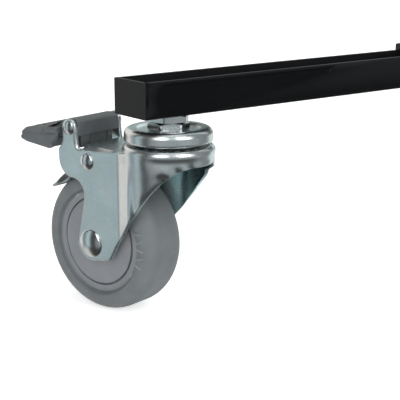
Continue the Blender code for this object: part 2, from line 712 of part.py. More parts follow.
def build_arms(root, parts, materials):
    """Make the three arms with their castor nuts, foot cups and thumb screws."""
    plain = finished(make_arm(), materials["black_steel"])
    floor = (ARM_UNDERSIDE, ARM_UNDERSIDE + ARM_SHEET)
    fixed = drilled(link(plain.copy()), HUB_BOLT_RADIUS, -FIXED_BOLT_SPREAD, 0, *floor)
    fixed = finished(drilled(fixed, HUB_BOLT_RADIUS, FIXED_BOLT_SPREAD, 0, *floor), materials["black_steel"])
    folding = finished(drilled(link(plain), HUB_BOLT_RADIUS, 0, 0, *floor), materials["black_steel"])
    meshes = {
        "foot_cup": finished(make_foot_cup(), materials["black_nylon"]),
        "foot_screw": finished(make_foot_screw(), materials["black_nylon"]),
        "stem_nut": finished(make_stem_nut(), materials["zinc"]),
    }
    arm_frames = {}
    for number, heading in ARM_HEADINGS.items():
        at = (HUB_BOLT_CIRCLE * math.cos(heading), HUB_BOLT_CIRCLE * math.sin(heading), 0)
        arm_frame = empty(f"arm_frame_{number}", root, at, heading)
        cup_frame = empty(f"cup_frame_{number}", arm_frame, (CUP_CIRCLE - HUB_BOLT_CIRCLE, 0, 0))
        frames = {
            "foot_cup": cup_frame,
            "foot_screw": empty(f"screw_frame_{number}", cup_frame, (0, 0, ARM_TOP - FOOT_SCREW_DROP)),
            "stem_nut": empty(f"nut_frame_{number}", arm_frame, (CASTOR_CIRCLE - HUB_BOLT_CIRCLE, 0, 0)),
        }
        hang(link(fixed if number == 1 else folding), f"arm_{number}", parts, arm_frame)
        for piece, frame in frames.items():
            hang(link(meshes[piece]), f"{piece}_{number}", parts, frame)
        arm_frames[number] = arm_frame
    return arm_frames


def build_hub(root, parts, materials):
    """Make the hub: two plates, spacer, bolts and the middle knob."""
    pieces = {
        "hub_top_plate": (make_hub_plate(ARM_TOP + GAP), "black_steel"),
        "hub_bottom_plate": (make_hub_plate(ARM_UNDERSIDE - GAP - HUB_PLATE), "black_steel"),
        "hub_spacer": (make_hub_spacer(), "zinc"),
        "hub_knob": (make_hub_knob(), "black_nylon"),
    }
    for name, (shape, finish) in pieces.items():
        hang(link(finished(shape, materials[finish])), name, parts, root)
    bolt = finished(make_hub_bolt(), materials["zinc"])
    for name, (x, y) in bolt_places().items():
        hang(link(bolt), name, parts, empty(f"{name}_frame", root, (x, y, 0)))


def centre_on_floor(root, parts):
    """Move the dolly so that the middle of its footprint is the origin."""
    bpy.context.view_layer.update()
    corners = []
    for part in parts.objects:
        corners += [part.matrix_world @ vertex.co for vertex in part.data.vertices]
    low = Vector(min(corner[i] for corner in corners) for i in range(3))
    high = Vector(max(corner[i] for corner in corners) for i in range(3))
    root.location -= Vector(((low.x + high.x) / 2, (low.y + high.y) / 2, low.z))
    bpy.context.view_layer.update()


def main():
    """Build the whole dolly."""
    parts = start_clean()
    materials = make_materials()
    root = empty("dolly", None, (0, 0, 0))
    build_hub(root, parts, materials)
    arm_frames = build_arms(root, parts, materials)
    build_castors(arm_frames, parts, materials)
    centre_on_floor(root, parts)


main()
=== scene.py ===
"""Looks of a tripod dolly: three black channel arms on a folding hub, each carried by a braked swivel castor.

Lengths in the shapes are millimetres and become metres when a piece is made. A castor is drawn in its own
frame: the swivel axis stands on the floor at the origin, the wheel trails towards -X, and the side that is
seen first faces -Y. An arm is drawn with X outwards from its hub bolt.
"""

from __future__ import annotations

import json
import logging
import math
from dataclasses import dataclass, field, replace
from enum import Enum
from typing import Callable, Dict, List, Optional, Sequence, Tuple

import bmesh
import bpy
import numpy as np
from mathutils import Matrix, Vector
from mathutils.geometry import delaunay_2d_cdt


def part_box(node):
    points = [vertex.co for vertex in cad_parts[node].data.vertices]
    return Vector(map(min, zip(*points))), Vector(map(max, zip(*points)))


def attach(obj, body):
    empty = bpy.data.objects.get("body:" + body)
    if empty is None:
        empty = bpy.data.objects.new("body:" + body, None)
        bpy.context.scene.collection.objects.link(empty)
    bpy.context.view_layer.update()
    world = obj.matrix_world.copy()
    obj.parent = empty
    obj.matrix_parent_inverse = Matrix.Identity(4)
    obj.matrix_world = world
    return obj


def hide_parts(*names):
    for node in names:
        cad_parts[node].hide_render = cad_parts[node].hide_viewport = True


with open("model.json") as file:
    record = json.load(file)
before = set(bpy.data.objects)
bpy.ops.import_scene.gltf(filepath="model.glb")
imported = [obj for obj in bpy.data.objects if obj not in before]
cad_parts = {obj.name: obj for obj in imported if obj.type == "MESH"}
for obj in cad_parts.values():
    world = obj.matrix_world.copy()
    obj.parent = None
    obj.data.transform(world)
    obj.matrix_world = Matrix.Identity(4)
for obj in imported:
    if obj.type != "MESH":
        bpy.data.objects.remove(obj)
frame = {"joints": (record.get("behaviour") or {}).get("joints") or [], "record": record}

log = logging.getLogger("tripod_dolly")

MM = 0.001

# How a mesh is cleaned: which points are joined, which slivers go and which edges stay sharp.
WELD_MM = 0.002
SLIVER_MM = 0.0005
SHARP_ANGLE = math.radians(38)

# Below these, points, corners or radii count as the same.
SAME_SPOT = 1e-3
SAME_CORNER = 1e-7
ON_AXIS = 1e-6
NO_LENGTH = 1e-9
NO_AREA = 1e-12

# How an outline is moved inwards, and how clear of it the added points stay.
MITRE_LIMIT = 0.35
NEARLY_PARALLEL = 0.05
EDGE_GAP = 0.55

# Round holes and hexagons: sides, slope of a turned-off corner, how far a corner is broken, angle of a side.
HOLE_SIDES = 24
CHAMFER = math.tan(math.radians(30))
CORNER_BREAK = 0.18
SECTOR = math.radians(60)

Tree = bpy.types.NodeTree
Socket = bpy.types.NodeSocket
Flat = Tuple[float, float]
Spot = Tuple[float, float, float]
Column = Callable[[float], List[Flat]]
Bend = Callable[[float, float, float], Spot]


class Slot(Enum):
    """The record's material slots."""

    ZINC = "zinc_plated_steel"
    BLACK_STEEL = "black_coated_steel"
    TYRE = "grey_rubber"
    CORE = "grey_polypropylene"
    PEDAL = "dark_grey_nylon"
    KNOB = "black_nylon"


def arc(centre: Flat, radius: float, start: float, end: float, steps: int) -> List[Flat]:
    """Points along an arc between two angles in degrees.

    Args:
        centre: the arc's centre.
        radius: its radius.
        start: first angle.
        end: last angle.
        steps: how many chords it is drawn with.

    Returns:
        The points, both ends among them.
    """
    turns = np.radians(np.linspace(start, end, steps + 1))
    return [(centre[0] + radius * math.cos(turn), centre[1] + radius * math.sin(turn)) for turn in turns]


def rounded(corners: Sequence[Tuple[float, float, float]], steps: int = 4, closed: bool = True) -> List[Flat]:
    """An outline whose corners are rounded off.

    Args:
        corners: (x, y, radius) for each corner, where a radius of 0 keeps it sharp.
        steps: chords for each rounded corner.
        closed: whether the last corner joins the first.

    Returns:
        The outline's points.
    """
    points: List[Flat] = []
    for i, (x, y, radius) in enumerate(corners):
        end = not closed and i in (0, len(corners) - 1)
        if radius <= 0 or end:
            points.append((x, y))
            continue
        here = Vector((x, y))
        back = (Vector(corners[i - 1][:2]) - here).normalized()
        ahead = (Vector(corners[(i + 1) % len(corners)][:2]) - here).normalized()
        half = back.angle(ahead) / 2
        centre = here + (back + ahead).normalized() * radius / math.sin(half)
        first = here + back * radius / math.tan(half) - centre
        last = here + ahead * radius / math.tan(half) - centre
        sweep = first.angle_signed(last)
        start = math.atan2(first.y, first.x)
        for step in range(steps + 1):
            turn = start - sweep * step / steps
            points.append((centre.x + radius * math.cos(turn), centre.y + radius * math.sin(turn)))
    return points


def rounded_box(first: Flat, opposite: Flat, radii: Sequence[float], steps: int) -> List[Flat]:
    """A rectangle whose corners are rounded off.

    Args:
        first: one corner.
        opposite: the corner across from it.
        radii: the corners' radii, from the first corner along X and then round.
        steps: chords for each corner.

    Returns:
        The outline's points.
    """
    (left, low), (right, high) = first, opposite
    corners = ((left, low), (right, low), (right, high), (left, high))
    return rounded([(x, y, radius) for (x, y), radius in zip(corners, radii)], steps)


def hole(centre: Flat, radius: float) -> List[Flat]:
    """A round hole's outline."""
    return arc(centre, radius, 0, 360 - 360 / HOLE_SIDES, HOLE_SIDES - 1)

def smooth(points: Sequence[Flat], steps: int = 6) -> List[Flat]:
    """A smooth line through all the points given.

    Args:
        points: what the line goes through.
        steps: chords between one point and the next.

    Returns:
        The line's points.
    """
    ends = [points[0]] + list(points) + [points[-1]]
    line: List[Flat] = []
    for before, here, there, after in zip(ends, ends[1:], ends[2:], ends[3:]):
        for step in range(steps):
            t = step / steps
            line.append(tuple(0.5 * (2 * b + (c - a) * t + (2 * a - 5 * b + 4 * c - d) * t * t
                                     + (3 * b - a - 3 * c + d) * t ** 3)
                              for a, b, c, d in zip(before, here, there, after)))
    line.append(tuple(points[-1]))
    return line


def dense(loop: Sequence[Flat], step: float, closed: bool = True) -> List[Flat]:
    """A line with points added wherever two stand further apart than a step.

    Args:
        loop: the line's points.
        step: the longest gap that stays.
        closed: whether the last point joins the first.

    Returns:
        The line's points.
    """
    points: List[Flat] = []
    ends = list(loop[1:]) + ([loop[0]] if closed else [])
    for here, there in zip(loop, ends):
        count = max(1, math.ceil(math.dist(here, there) / step))
        points += [(here[0] + (there[0] - here[0]) * i / count, here[1] + (there[1] - here[1]) * i / count)
                   for i in range(count)]
    if not closed:
        points.append(loop[-1])
    return points


def inset(loop: Sequence[Flat], distance: Sequence[float]) -> List[Flat]:
    """A closed loop moved to its left side by a distance at each point.

    Args:
        loop: the loop's points.
        distance: how far each point moves.

    Returns:
        The moved points.
    """
    spots = np.array(loop, float)
    ahead = np.roll(spots, -1, 0) - spots
    ahead /= np.linalg.norm(ahead, axis=1, keepdims=True)
    behind = np.roll(ahead, 1, 0)
    left = np.stack([-ahead[:, 1], ahead[:, 0]], 1)
    left_behind = np.stack([-behind[:, 1], behind[:, 0]], 1)
    spread = np.maximum(1 + (left * left_behind).sum(1, keepdims=True), MITRE_LIMIT)
    moved = spots + (left + left_behind) / spread * np.array(distance, float)[:, None]
    count = len(spots)
    turned_over = ((np.roll(moved, -1, 0) - moved) * ahead).sum(1) <= NO_LENGTH
    for start in range(count):
        if not turned_over[start] or turned_over[start - 1]:
            continue
        run = 1
        while turned_over[(start + run) % count] and run < count:
            run += 1
        before, after = (start - 1) % count, (start + run) % count
        twist = ahead[before, 0] * ahead[after, 1] - ahead[before, 1] * ahead[after, 0]
        meet = (moved[start] + moved[after]) / 2
        if abs(twist) > NEARLY_PARALLEL:
            gap = moved[after] - moved[before]
            slip = gap[0] * ahead[after, 1] - gap[1] * ahead[after, 0]
            meet = moved[before] + ahead[before] * slip / twist
        for step in range(run + 1):
            moved[(start + step) % count] = meet
    return [tuple(spot) for spot in moved]


def within(spots: np.ndarray, loops: Sequence[Sequence[Flat]]) -> np.ndarray:
    """Which points lie inside an outline and outside its holes.

    Args:
        spots: the points, one a row.
        loops: the outline and then its holes.

    Returns:
        True or False for each point.
    """
    inside = np.zeros(len(spots), bool)
    for loop in loops:
        corners = np.array(loop)
        for start, end in zip(corners, np.roll(corners, -1, 0)):
            crosses = (start[1] > spots[:, 1]) != (end[1] > spots[:, 1])
            run = (end[1] - start[1]) or NO_AREA
            reach = start[0] + (spots[:, 1] - start[1]) * (end[0] - start[0]) / run
            inside ^= crosses & (spots[:, 0] < reach)
    return inside


def inner_grid(loops: Sequence[Sequence[Flat]], spacing: float) -> List[Flat]:
    """A grid of points inside an outline and outside its holes.

    Args:
        loops: the outline and then its holes.
        spacing: distance between neighbouring points.

    Returns:
        The points that stand clear of every loop.
    """
    outline = np.array(loops[0])
    low, high = outline.min(0), outline.max(0)
    across_it = np.arange(low[0] + spacing / 2, high[0], spacing)
    up_it = np.arange(low[1] + spacing / 2, high[1], spacing)
    grid = np.array([(a, b) for b in up_it for a in across_it])
    clear = within(grid, loops)
    for loop in loops:
        corners = np.array(loop)
        for start, end in zip(corners, np.roll(corners, -1, 0)):
            along = end - start
            share = np.clip(((grid - start) @ along) / max(along @ along, NO_AREA), 0, 1)
            gap = np.linalg.norm(grid - (start + share[:, None] * along), axis=1)
            clear &= gap > spacing * EDGE_GAP
    return [tuple(spot) for spot in grid[clear]]


def ease(value: float, start: float, end: float) -> float:
    """0 before start, 1 after end, and a smooth rise between them."""
    share = min(max((value - start) / (end - start), 0.0), 1.0)
    return share * share * (3 - 2 * share)


def hexagon_reach(across_flats: float, turn: float, angle: float) -> float:
    """How far a hexagon's side stands from its middle at an angle, its corners just broken."""
    off = (angle - turn + SECTOR / 2) % SECTOR - SECTOR / 2
    return min(across_flats / 2 / math.cos(off), across_flats / math.sqrt(3) - CORNER_BREAK)


class BentPath:
    """A line of straight runs and round bends in its own plane, which a sheet's outer face follows."""

    STEP = 0.02
    SHORTEST_RUN = 1e-6

    def __init__(self, start: Flat, heading: float, runs: Sequence[Tuple[float, float, float]]) -> None:
        """Lay the line out.

        Args:
            start: its first point.
            heading: its first direction in degrees.
            runs: (straight length, turn in degrees, bend radius) one after another.
        """
        places, headings = [0.0], [math.radians(heading)]
        for length, turn, radius in runs:
            places.append(places[-1] + max(length, self.SHORTEST_RUN))
            headings.append(headings[-1])
            if turn:
                places.append(places[-1] + abs(math.radians(turn)) * radius)
                headings.append(headings[-1] + math.radians(turn))
        self.length = places[-1]
        self.places = np.linspace(0, self.length, int(self.length / self.STEP) + 2)
        self.headings = np.interp(self.places, places, headings)
        gap = np.diff(self.places)
        middle = (self.headings[1:] + self.headings[:-1]) / 2
        self.across = start[0] + np.concatenate([[0], np.cumsum(np.cos(middle) * gap)])
        self.up = start[1] + np.concatenate([[0], np.cumsum(np.sin(middle) * gap)])

    def at(self, place: float, depth: float = 0.0) -> Tuple[float, float, float]:
        """The point at a distance along the line, moved by a depth to its left.

        Args:
            place: distance along the line.
            depth: distance from the line, inwards.

        Returns:
            The point's two coordinates, and the line's heading there in radians.
        """
        heading = float(np.interp(place, self.places, self.headings))
        across = float(np.interp(place, self.places, self.across)) - depth * math.sin(heading)
        up = float(np.interp(place, self.places, self.up)) + depth * math.cos(heading)
        return across, up, heading

    def place_of(self, across: float) -> float:
        """The distance along a line that only ever runs towards lower values, from its first coordinate."""
        return float(np.interp(-across, -self.across, self.places))


@dataclass
class Form:
    """A piece's shape, gathered as closed shells, in millimetres."""

    points: List[Spot] = field(default_factory=list)
    faces: List[Tuple[int, ...]] = field(default_factory=list)

    def add(self, points: Sequence[Sequence[float]], faces: Sequence[Sequence[int]]) -> None:
        """Take in a shell.

        Args:
            points: the shell's points.
            faces: the shell's faces, as numbers of its own points.
        """
        base = len(self.points)
        self.points += [tuple(float(value) for value in point) for point in points]
        self.faces += [tuple(base + i for i in face) for face in faces]

    def spin(self, column: Column, steps: int, start: float = 0.0, place: Optional[Matrix] = None) -> Form:
        """Turn a profile about the Z axis.

        Args:
            column: gives the profile's (radius, height) points at an angle in radians. A profile that
                starts on the axis also ends on it; any other closes on itself.
            steps: how many columns the round has.
            start: angle of the first column, in radians.
            place: where the round is then moved to, in millimetres.

        Returns:
            The form itself.
        """
        angles = [start + 2 * math.pi * i / steps for i in range(steps)]
        columns = [column(angle) for angle in angles]
        rows: List[List[int]] = []
        points: List[Spot] = []
        for j in range(len(columns[0])):
            if columns[0][j][0] < ON_AXIS:
                points.append((0.0, 0.0, columns[0][j][1]))
                rows.append([len(points) - 1] * steps)
                continue
            rows.append(list(range(len(points), len(points) + steps)))
            points += [(profile[j][0] * math.cos(angle), profile[j][0] * math.sin(angle), profile[j][1])
                       for angle, profile in zip(angles, columns)]
        ring = columns[0][0][0] > ON_AXIS
        faces = []
        for upper, lower in zip(rows, rows[1:] + (rows[:1] if ring else [])):
            for i in range(steps):
                corners = (upper[i], upper[(i + 1) % steps], lower[(i + 1) % steps], lower[i])
                faces.append(tuple(dict.fromkeys(corners)))
        if place is not None:
            points = [place @ Vector(point) for point in points]
        self.add(points, [face for face in faces if len(face) > 2])
        return self

    def plate(self, outline: Sequence[Flat], thickness: float, bend: Bend, *, edge: float = 0.35,
              back_edge: Optional[float] = None, edge_at: Optional[Callable[[float, float], Flat]] = None,
              holes: Sequence[Sequence[Flat]] = (), spacing: float = 0.0, steps: int = 3,
              creases: Sequence[Tuple[Sequence[Flat], float]] = (),
              folds: Sequence[Sequence[Flat]] = ()) -> None:
        """Add a plate with rounded rims, flat or bent.

        Args:
            outline: its flat outline, counter-clockwise.
            thickness: its thickness.
            bend: carries (u, v, depth below the outer face) to a point.
            edge: rounding of the outer face's rim.
            back_edge: rounding of the inner face's rim, the same as edge if not given.
            edge_at: both roundings at a point, outer and inner, where they aren't the same all round.
            holes: outlines of holes.
            spacing: distance between added inner points on a bent plate, or 0 on a flat one.
            steps: rows of faces on each rounding.
            creases: closed lines on the outer face, each with its depth below it.
            folds: closed lines that both faces follow.
        """
        loops = [distinct(outline)] + [distinct(hole) for hole in holes]
        if signed_area(loops[0]) < 0:
            loops[0].reverse()
        for hole in loops[1:]:
            if signed_area(hole) > 0:
                hole.reverse()
        inner = edge if back_edge is None else back_edge
        front = [[edge_at(u, v)[0] if edge_at else edge for u, v in loop] for loop in loops]
        back = [[edge_at(u, v)[1] if edge_at else inner for u, v in loop] for loop in loops]
        layers: List[Tuple[List[List[Flat]], List[List[float]]]] = []
        turns = [math.radians(90 * k / steps) for k in range(steps + 1)]
        for roundings, order, base, way in ((front, turns, 0.0, 1), (back, turns[::-1], thickness, -1)):
            for turn in order:
                rings = [inset(loop, [r * (1 - math.sin(turn)) for r in radii])
                         for loop, radii in zip(loops, roundings)]
                depths = [[base + way * r * (1 - math.cos(turn)) for r in radii] for radii in roundings]
                layers.append((rings, depths))
        points: List[Spot] = []
        rows: List[List[List[int]]] = []
        for rings, depths in layers:
            row = []
            for ring, depth in zip(rings, depths):
                row.append(list(range(len(points), len(points) + len(ring))))
                points += [bend(u, v, d) for (u, v), d in zip(ring, depth)]
            rows.append(row)
        faces: List[Tuple[int, ...]] = []
        for upper, lower in zip(rows, rows[1:]):
            for first, second in zip(upper, lower):
                count = len(first)
                faces += [(first[i], second[i], second[(i + 1) % count], first[(i + 1) % count])
                          for i in range(count)]
        for side, depth in ((0, 0.0), (-1, thickness)):
            lines = [(line, 0.0) for line in folds] + ([] if side else list(creases))
            self.skin(points, faces, layers[side][0], rows[side], bend, depth, spacing, lines)
        self.add(points, faces)

    @staticmethod
    def skin(points: List[Spot], faces: List[Tuple[int, ...]], rings: Sequence[Sequence[Flat]],
             rows: Sequence[Sequence[int]], bend: Bend, depth: float, spacing: float,
             creases: Sequence[Tuple[Sequence[Flat], float]]) -> None:
        """Close one face of a plate with triangles.

        Args:
            points: the shell's points, which it adds to.
            faces: the shell's faces, which it adds to.
            rings: the face's outline and holes.
            rows: where those rings' points are in the shell.
            bend: carries (u, v, depth) to a point.
            depth: how far the face lies below the outer face.
            spacing: distance between added inner points, or 0 for none.
            creases: closed lines on the face with their own depths.
        """
        spots = [spot for ring in rings for spot in ring]
        known = [index for row in rows for index in row]
        edges, base = [], 0
        for ring in rings:
            edges += [(base + i, base + (i + 1) % len(ring)) for i in range(len(ring))]
            base += len(ring)
        depths = [depth] * len(spots)
        for line, fall in creases:
            edges += [(base + i, base + (i + 1) % len(line)) for i in range(len(line))]
            base += len(line)
            spots += list(line)
            depths += [depth + fall] * len(line)
        if spacing:
            extra = inner_grid(rings, spacing)
            spots += extra
            depths += [depth] * len(extra)
        for spot, fall in list(zip(spots, depths))[len(known):]:
            known.append(len(points))
            points.append(bend(spot[0], spot[1], fall))
        flat = [Vector(spot) for spot in spots]
        found = delaunay_2d_cdt(flat, edges, [], 0, SAME_CORNER)
        origin = [ids[0] if ids else None for ids in found[3]]
        middles = np.array([[sum(found[0][i][k] for i in triangle) / 3 for k in (0, 1)]
                            for triangle in found[2]])
        for triangle, inside in zip(found[2], within(middles, rings)):
            corners = [origin[i] for i in triangle]
            if inside and None not in corners and len(set(corners)) == 3:
                faces.append(tuple(known[i] for i in corners))

    def mesh(self, name: str) -> bpy.types.Mesh:
        """The form as a mesh in metres, its faces pointing out and its edges marked.

        Args:
            name: the mesh's name.

        Returns:
            The mesh.
        """
        work = bmesh.new()
        spots = [work.verts.new([value * MM for value in point]) for point in self.points]
        for face in self.faces:
            try:
                work.faces.new([spots[i] for i in face])
            except ValueError:
                log.warning("%s: a face is given twice", name)
        bmesh.ops.remove_doubles(work, verts=work.verts, dist=WELD_MM * MM)
        bmesh.ops.dissolve_degenerate(work, edges=work.edges, dist=SLIVER_MM * MM)
        loose = [vertex for vertex in work.verts if not vertex.link_faces]
        bmesh.ops.delete(work, geom=loose, context="VERTS")
        bmesh.ops.recalc_face_normals(work, faces=work.faces)
        made = bpy.data.meshes.new(name)
        work.to_mesh(made)
        work.free()
        made.shade_smooth()
        made.set_sharp_from_angle(angle=SHARP_ANGLE)
        return made


def distinct(loop: Sequence[Flat]) -> List[Flat]:
    """A closed loop without points that lie on the one before."""
    pairs = zip([loop[-1]] + list(loop[:-1]), loop)
    return [here for before, here in pairs if math.dist(before, here) > SAME_SPOT]


def signed_area(loop: Sequence[Flat]) -> float:
    """A closed loop's area, negative where it runs clockwise."""
    x, y = np.array(loop).T
    return float((x * np.roll(y, -1) - np.roll(x, -1) * y).sum() / 2)


def upright(low: float) -> Bend:
    """A bend for a flat plate drawn in plan, whose outer face looks up at a height."""
    return lambda u, v, depth: (u, v, low - depth)


def across(outer: float, side: int) -> Bend:
    """A bend for a plate drawn from the side, whose outer face looks along Y at a distance."""
    return lambda u, v, depth: (u, side * (outer - depth), v)


def steady(profile: Sequence[Flat]) -> Column:
    """A column that is the same at every angle."""
    return lambda angle: list(profile)


def both_halves(half: Sequence[Flat]) -> List[Flat]:
    """A profile with its mirror image in the middle plane added."""
    return list(half) + [(reach, -along) for reach, along in half[::-1]]


LYING_ALONG_Y = Matrix.Rotation(math.radians(-90), 4, "X")


def linear(hex_colour: str) -> Tuple[float, float, float, float]:
    """An sRGB hex colour as linear red, green, blue and an alpha of 1, by the sRGB standard's curve."""
    parts = [int(hex_colour[i:i + 2], 16) / 255 for i in (1, 3, 5)]
    return (*(part / 12.92 if part <= 0.04045 else ((part + 0.055) / 1.055) ** 2.4 for part in parts), 1.0)


def add_node(tree: Tree, kind: str, values: Optional[Dict] = None, links: Optional[Dict] = None,
             stops: Sequence[Tuple[float, str]] = (), **settings: object) -> bpy.types.Node:
    """Add a node with its settings and links.

    Args:
        tree: the node tree.
        kind: the node's type, without the ShaderNode in front.
        values: input name or number to its value.
        links: input name or number to the output that feeds it.
        stops: (place, hex colour) stops of a colour ramp.
        settings: the node's other properties.

    Returns:
        The node.
    """
    made = tree.nodes.new("ShaderNode" + kind)
    for name, value in settings.items():
        setattr(made, name, value)
    for name, value in (values or {}).items():
        made.inputs[name].default_value = value
    for name, source in (links or {}).items():
        tree.links.new(source, made.inputs[name])
    if stops:
        ramp = made.color_ramp.elements
        while len(ramp) < len(stops):
            ramp.new(1.0)
        for stop, (place, colour) in zip(ramp, stops):
            stop.position = place
            stop.color = linear(colour)
    return made


@dataclass(frozen=True)
class Finish:
    """What every finish shares: its colours, its gloss and the size of its grain."""

    name: str
    slot: Slot
    colour: str
    shade: str
    # Colour mixed in at sharp convex edges: rubbed wear, and on the tyre also a painted highlight on its
    # raised ticks and edges.
    rubbed_and_highlight_edge: str
    roughness: float
    metallic: float = 0.0
    ior: float = 1.5
    mottle_mm: float = 14.0
    mottle_from: float = 0.32
    mottle_to: float = 0.68
    grain_mm: float = 0.9
    grain_depth_mm: float = 0.02
    grain_strength: float = 0.6
    gloss_spread: float = 0.12
    shine: float = 0.5
    rubbed_and_highlight_share: float = 0.5
    edge_from: float = 0.52
    edge_to: float = 0.62
    scratch_mm: float = 0.5
    scratch_stretch: float = 9.0
    scratch_lie: Spot = (0.3, 0.9, 0.2)
    scratches: float = 0.0

    def build(self) -> bpy.types.Material:
        """Make the finish's material.

        Returns:
            The material, its colour, gloss and relief drawn by nodes.
        """
        made = bpy.data.materials.new(self.name)
        made.use_nodes = True
        tree = made.node_tree
        shader = tree.nodes["Principled BSDF"]
        shader.inputs["Metallic"].default_value = self.metallic
        if not self.metallic:
            shader.inputs["IOR"].default_value = self.ior
            shader.inputs["Specular IOR Level"].default_value = self.shine
        where = add_node(tree, "TexCoord").outputs["Object"]
        mottle = add_node(tree, "TexNoise",
                          {"Scale": 1 / (self.mottle_mm * MM), "Detail": 3.0, "Roughness": 0.6},
                          {"Vector": where})
        spread = add_node(tree, "MapRange", {"From Min": self.mottle_from, "From Max": self.mottle_to},
                          {"Value": mottle.outputs["Fac"]})
        colour = add_node(tree, "Mix", {6: linear(self.shade), 7: linear(self.colour)},
                          {0: spread.outputs["Result"]}, data_type="RGBA")
        grain = add_node(tree, "TexNoise",
                         {"Scale": 1 / (self.grain_mm * MM), "Detail": 4.0, "Roughness": 0.65},
                         {"Vector": where})
        # Paler at sharp convex edges: rubbed wear, and on the tyre a painted highlight as well.
        rim = add_node(tree, "NewGeometry").outputs["Pointiness"]
        edges = add_node(tree, "MapRange",
                         {"From Min": self.edge_from, "From Max": self.edge_to, "To Max": self.rubbed_and_highlight_share},
                         {"Value": rim})
        broken = add_node(tree, "Math", {}, {0: edges.outputs["Result"], 1: grain.outputs["Fac"]},
                          operation="MULTIPLY")
        rubbed_and_highlight_edge = add_node(tree, "Mix", {7: linear(self.rubbed_and_highlight_edge)},
                        {0: broken.outputs["Value"], 6: colour.outputs[2]}, data_type="RGBA")
        shader_colour = self.tinted(tree, where, rubbed_and_highlight_edge.outputs[2])
        gloss = add_node(tree, "MapRange",
                         {"To Min": self.roughness - self.gloss_spread,
                          "To Max": self.roughness + self.gloss_spread},
                         {"Value": grain.outputs["Fac"]})
        relief = add_node(tree, "Bump",
                          {"Strength": self.grain_strength, "Distance": self.grain_depth_mm * MM},
                          {"Height": grain.outputs["Fac"]})
        normal = relief.outputs["Normal"]
        if self.scratches:
            lie = add_node(tree, "Mapping",
                           {"Scale": (1.0, 1.0, self.scratch_stretch), "Rotation": self.scratch_lie},
                           {"Vector": where})
            scratch = add_node(tree, "TexNoise",
                               {"Scale": 1 / (self.scratch_mm * MM * self.scratch_stretch),
                                "Detail": 5.0, "Roughness": 0.75},
                               {"Vector": lie.outputs["Vector"]})
            lines = add_node(tree, "Bump",
                             {"Strength": self.scratches, "Distance": self.grain_depth_mm * MM},
                             {"Height": scratch.outputs["Fac"], "Normal": normal})
            normal = lines.outputs["Normal"]
        normal = self.relieved(tree, where, normal)
        tree.links.new(shader_colour, shader.inputs["Base Color"])
        tree.links.new(gloss.outputs["Result"], shader.inputs["Roughness"])
        tree.links.new(normal, shader.inputs["Normal"])
        return made

    def tinted(self, tree: Tree, where: Socket, colour: Socket) -> Socket:
        """The colour with the finish's own marks; a plain finish has none."""
        return colour

    def relieved(self, tree: Tree, where: Socket, normal: Socket) -> Socket:
        """The relief with the finish's own marks; a plain finish has none."""
        return normal


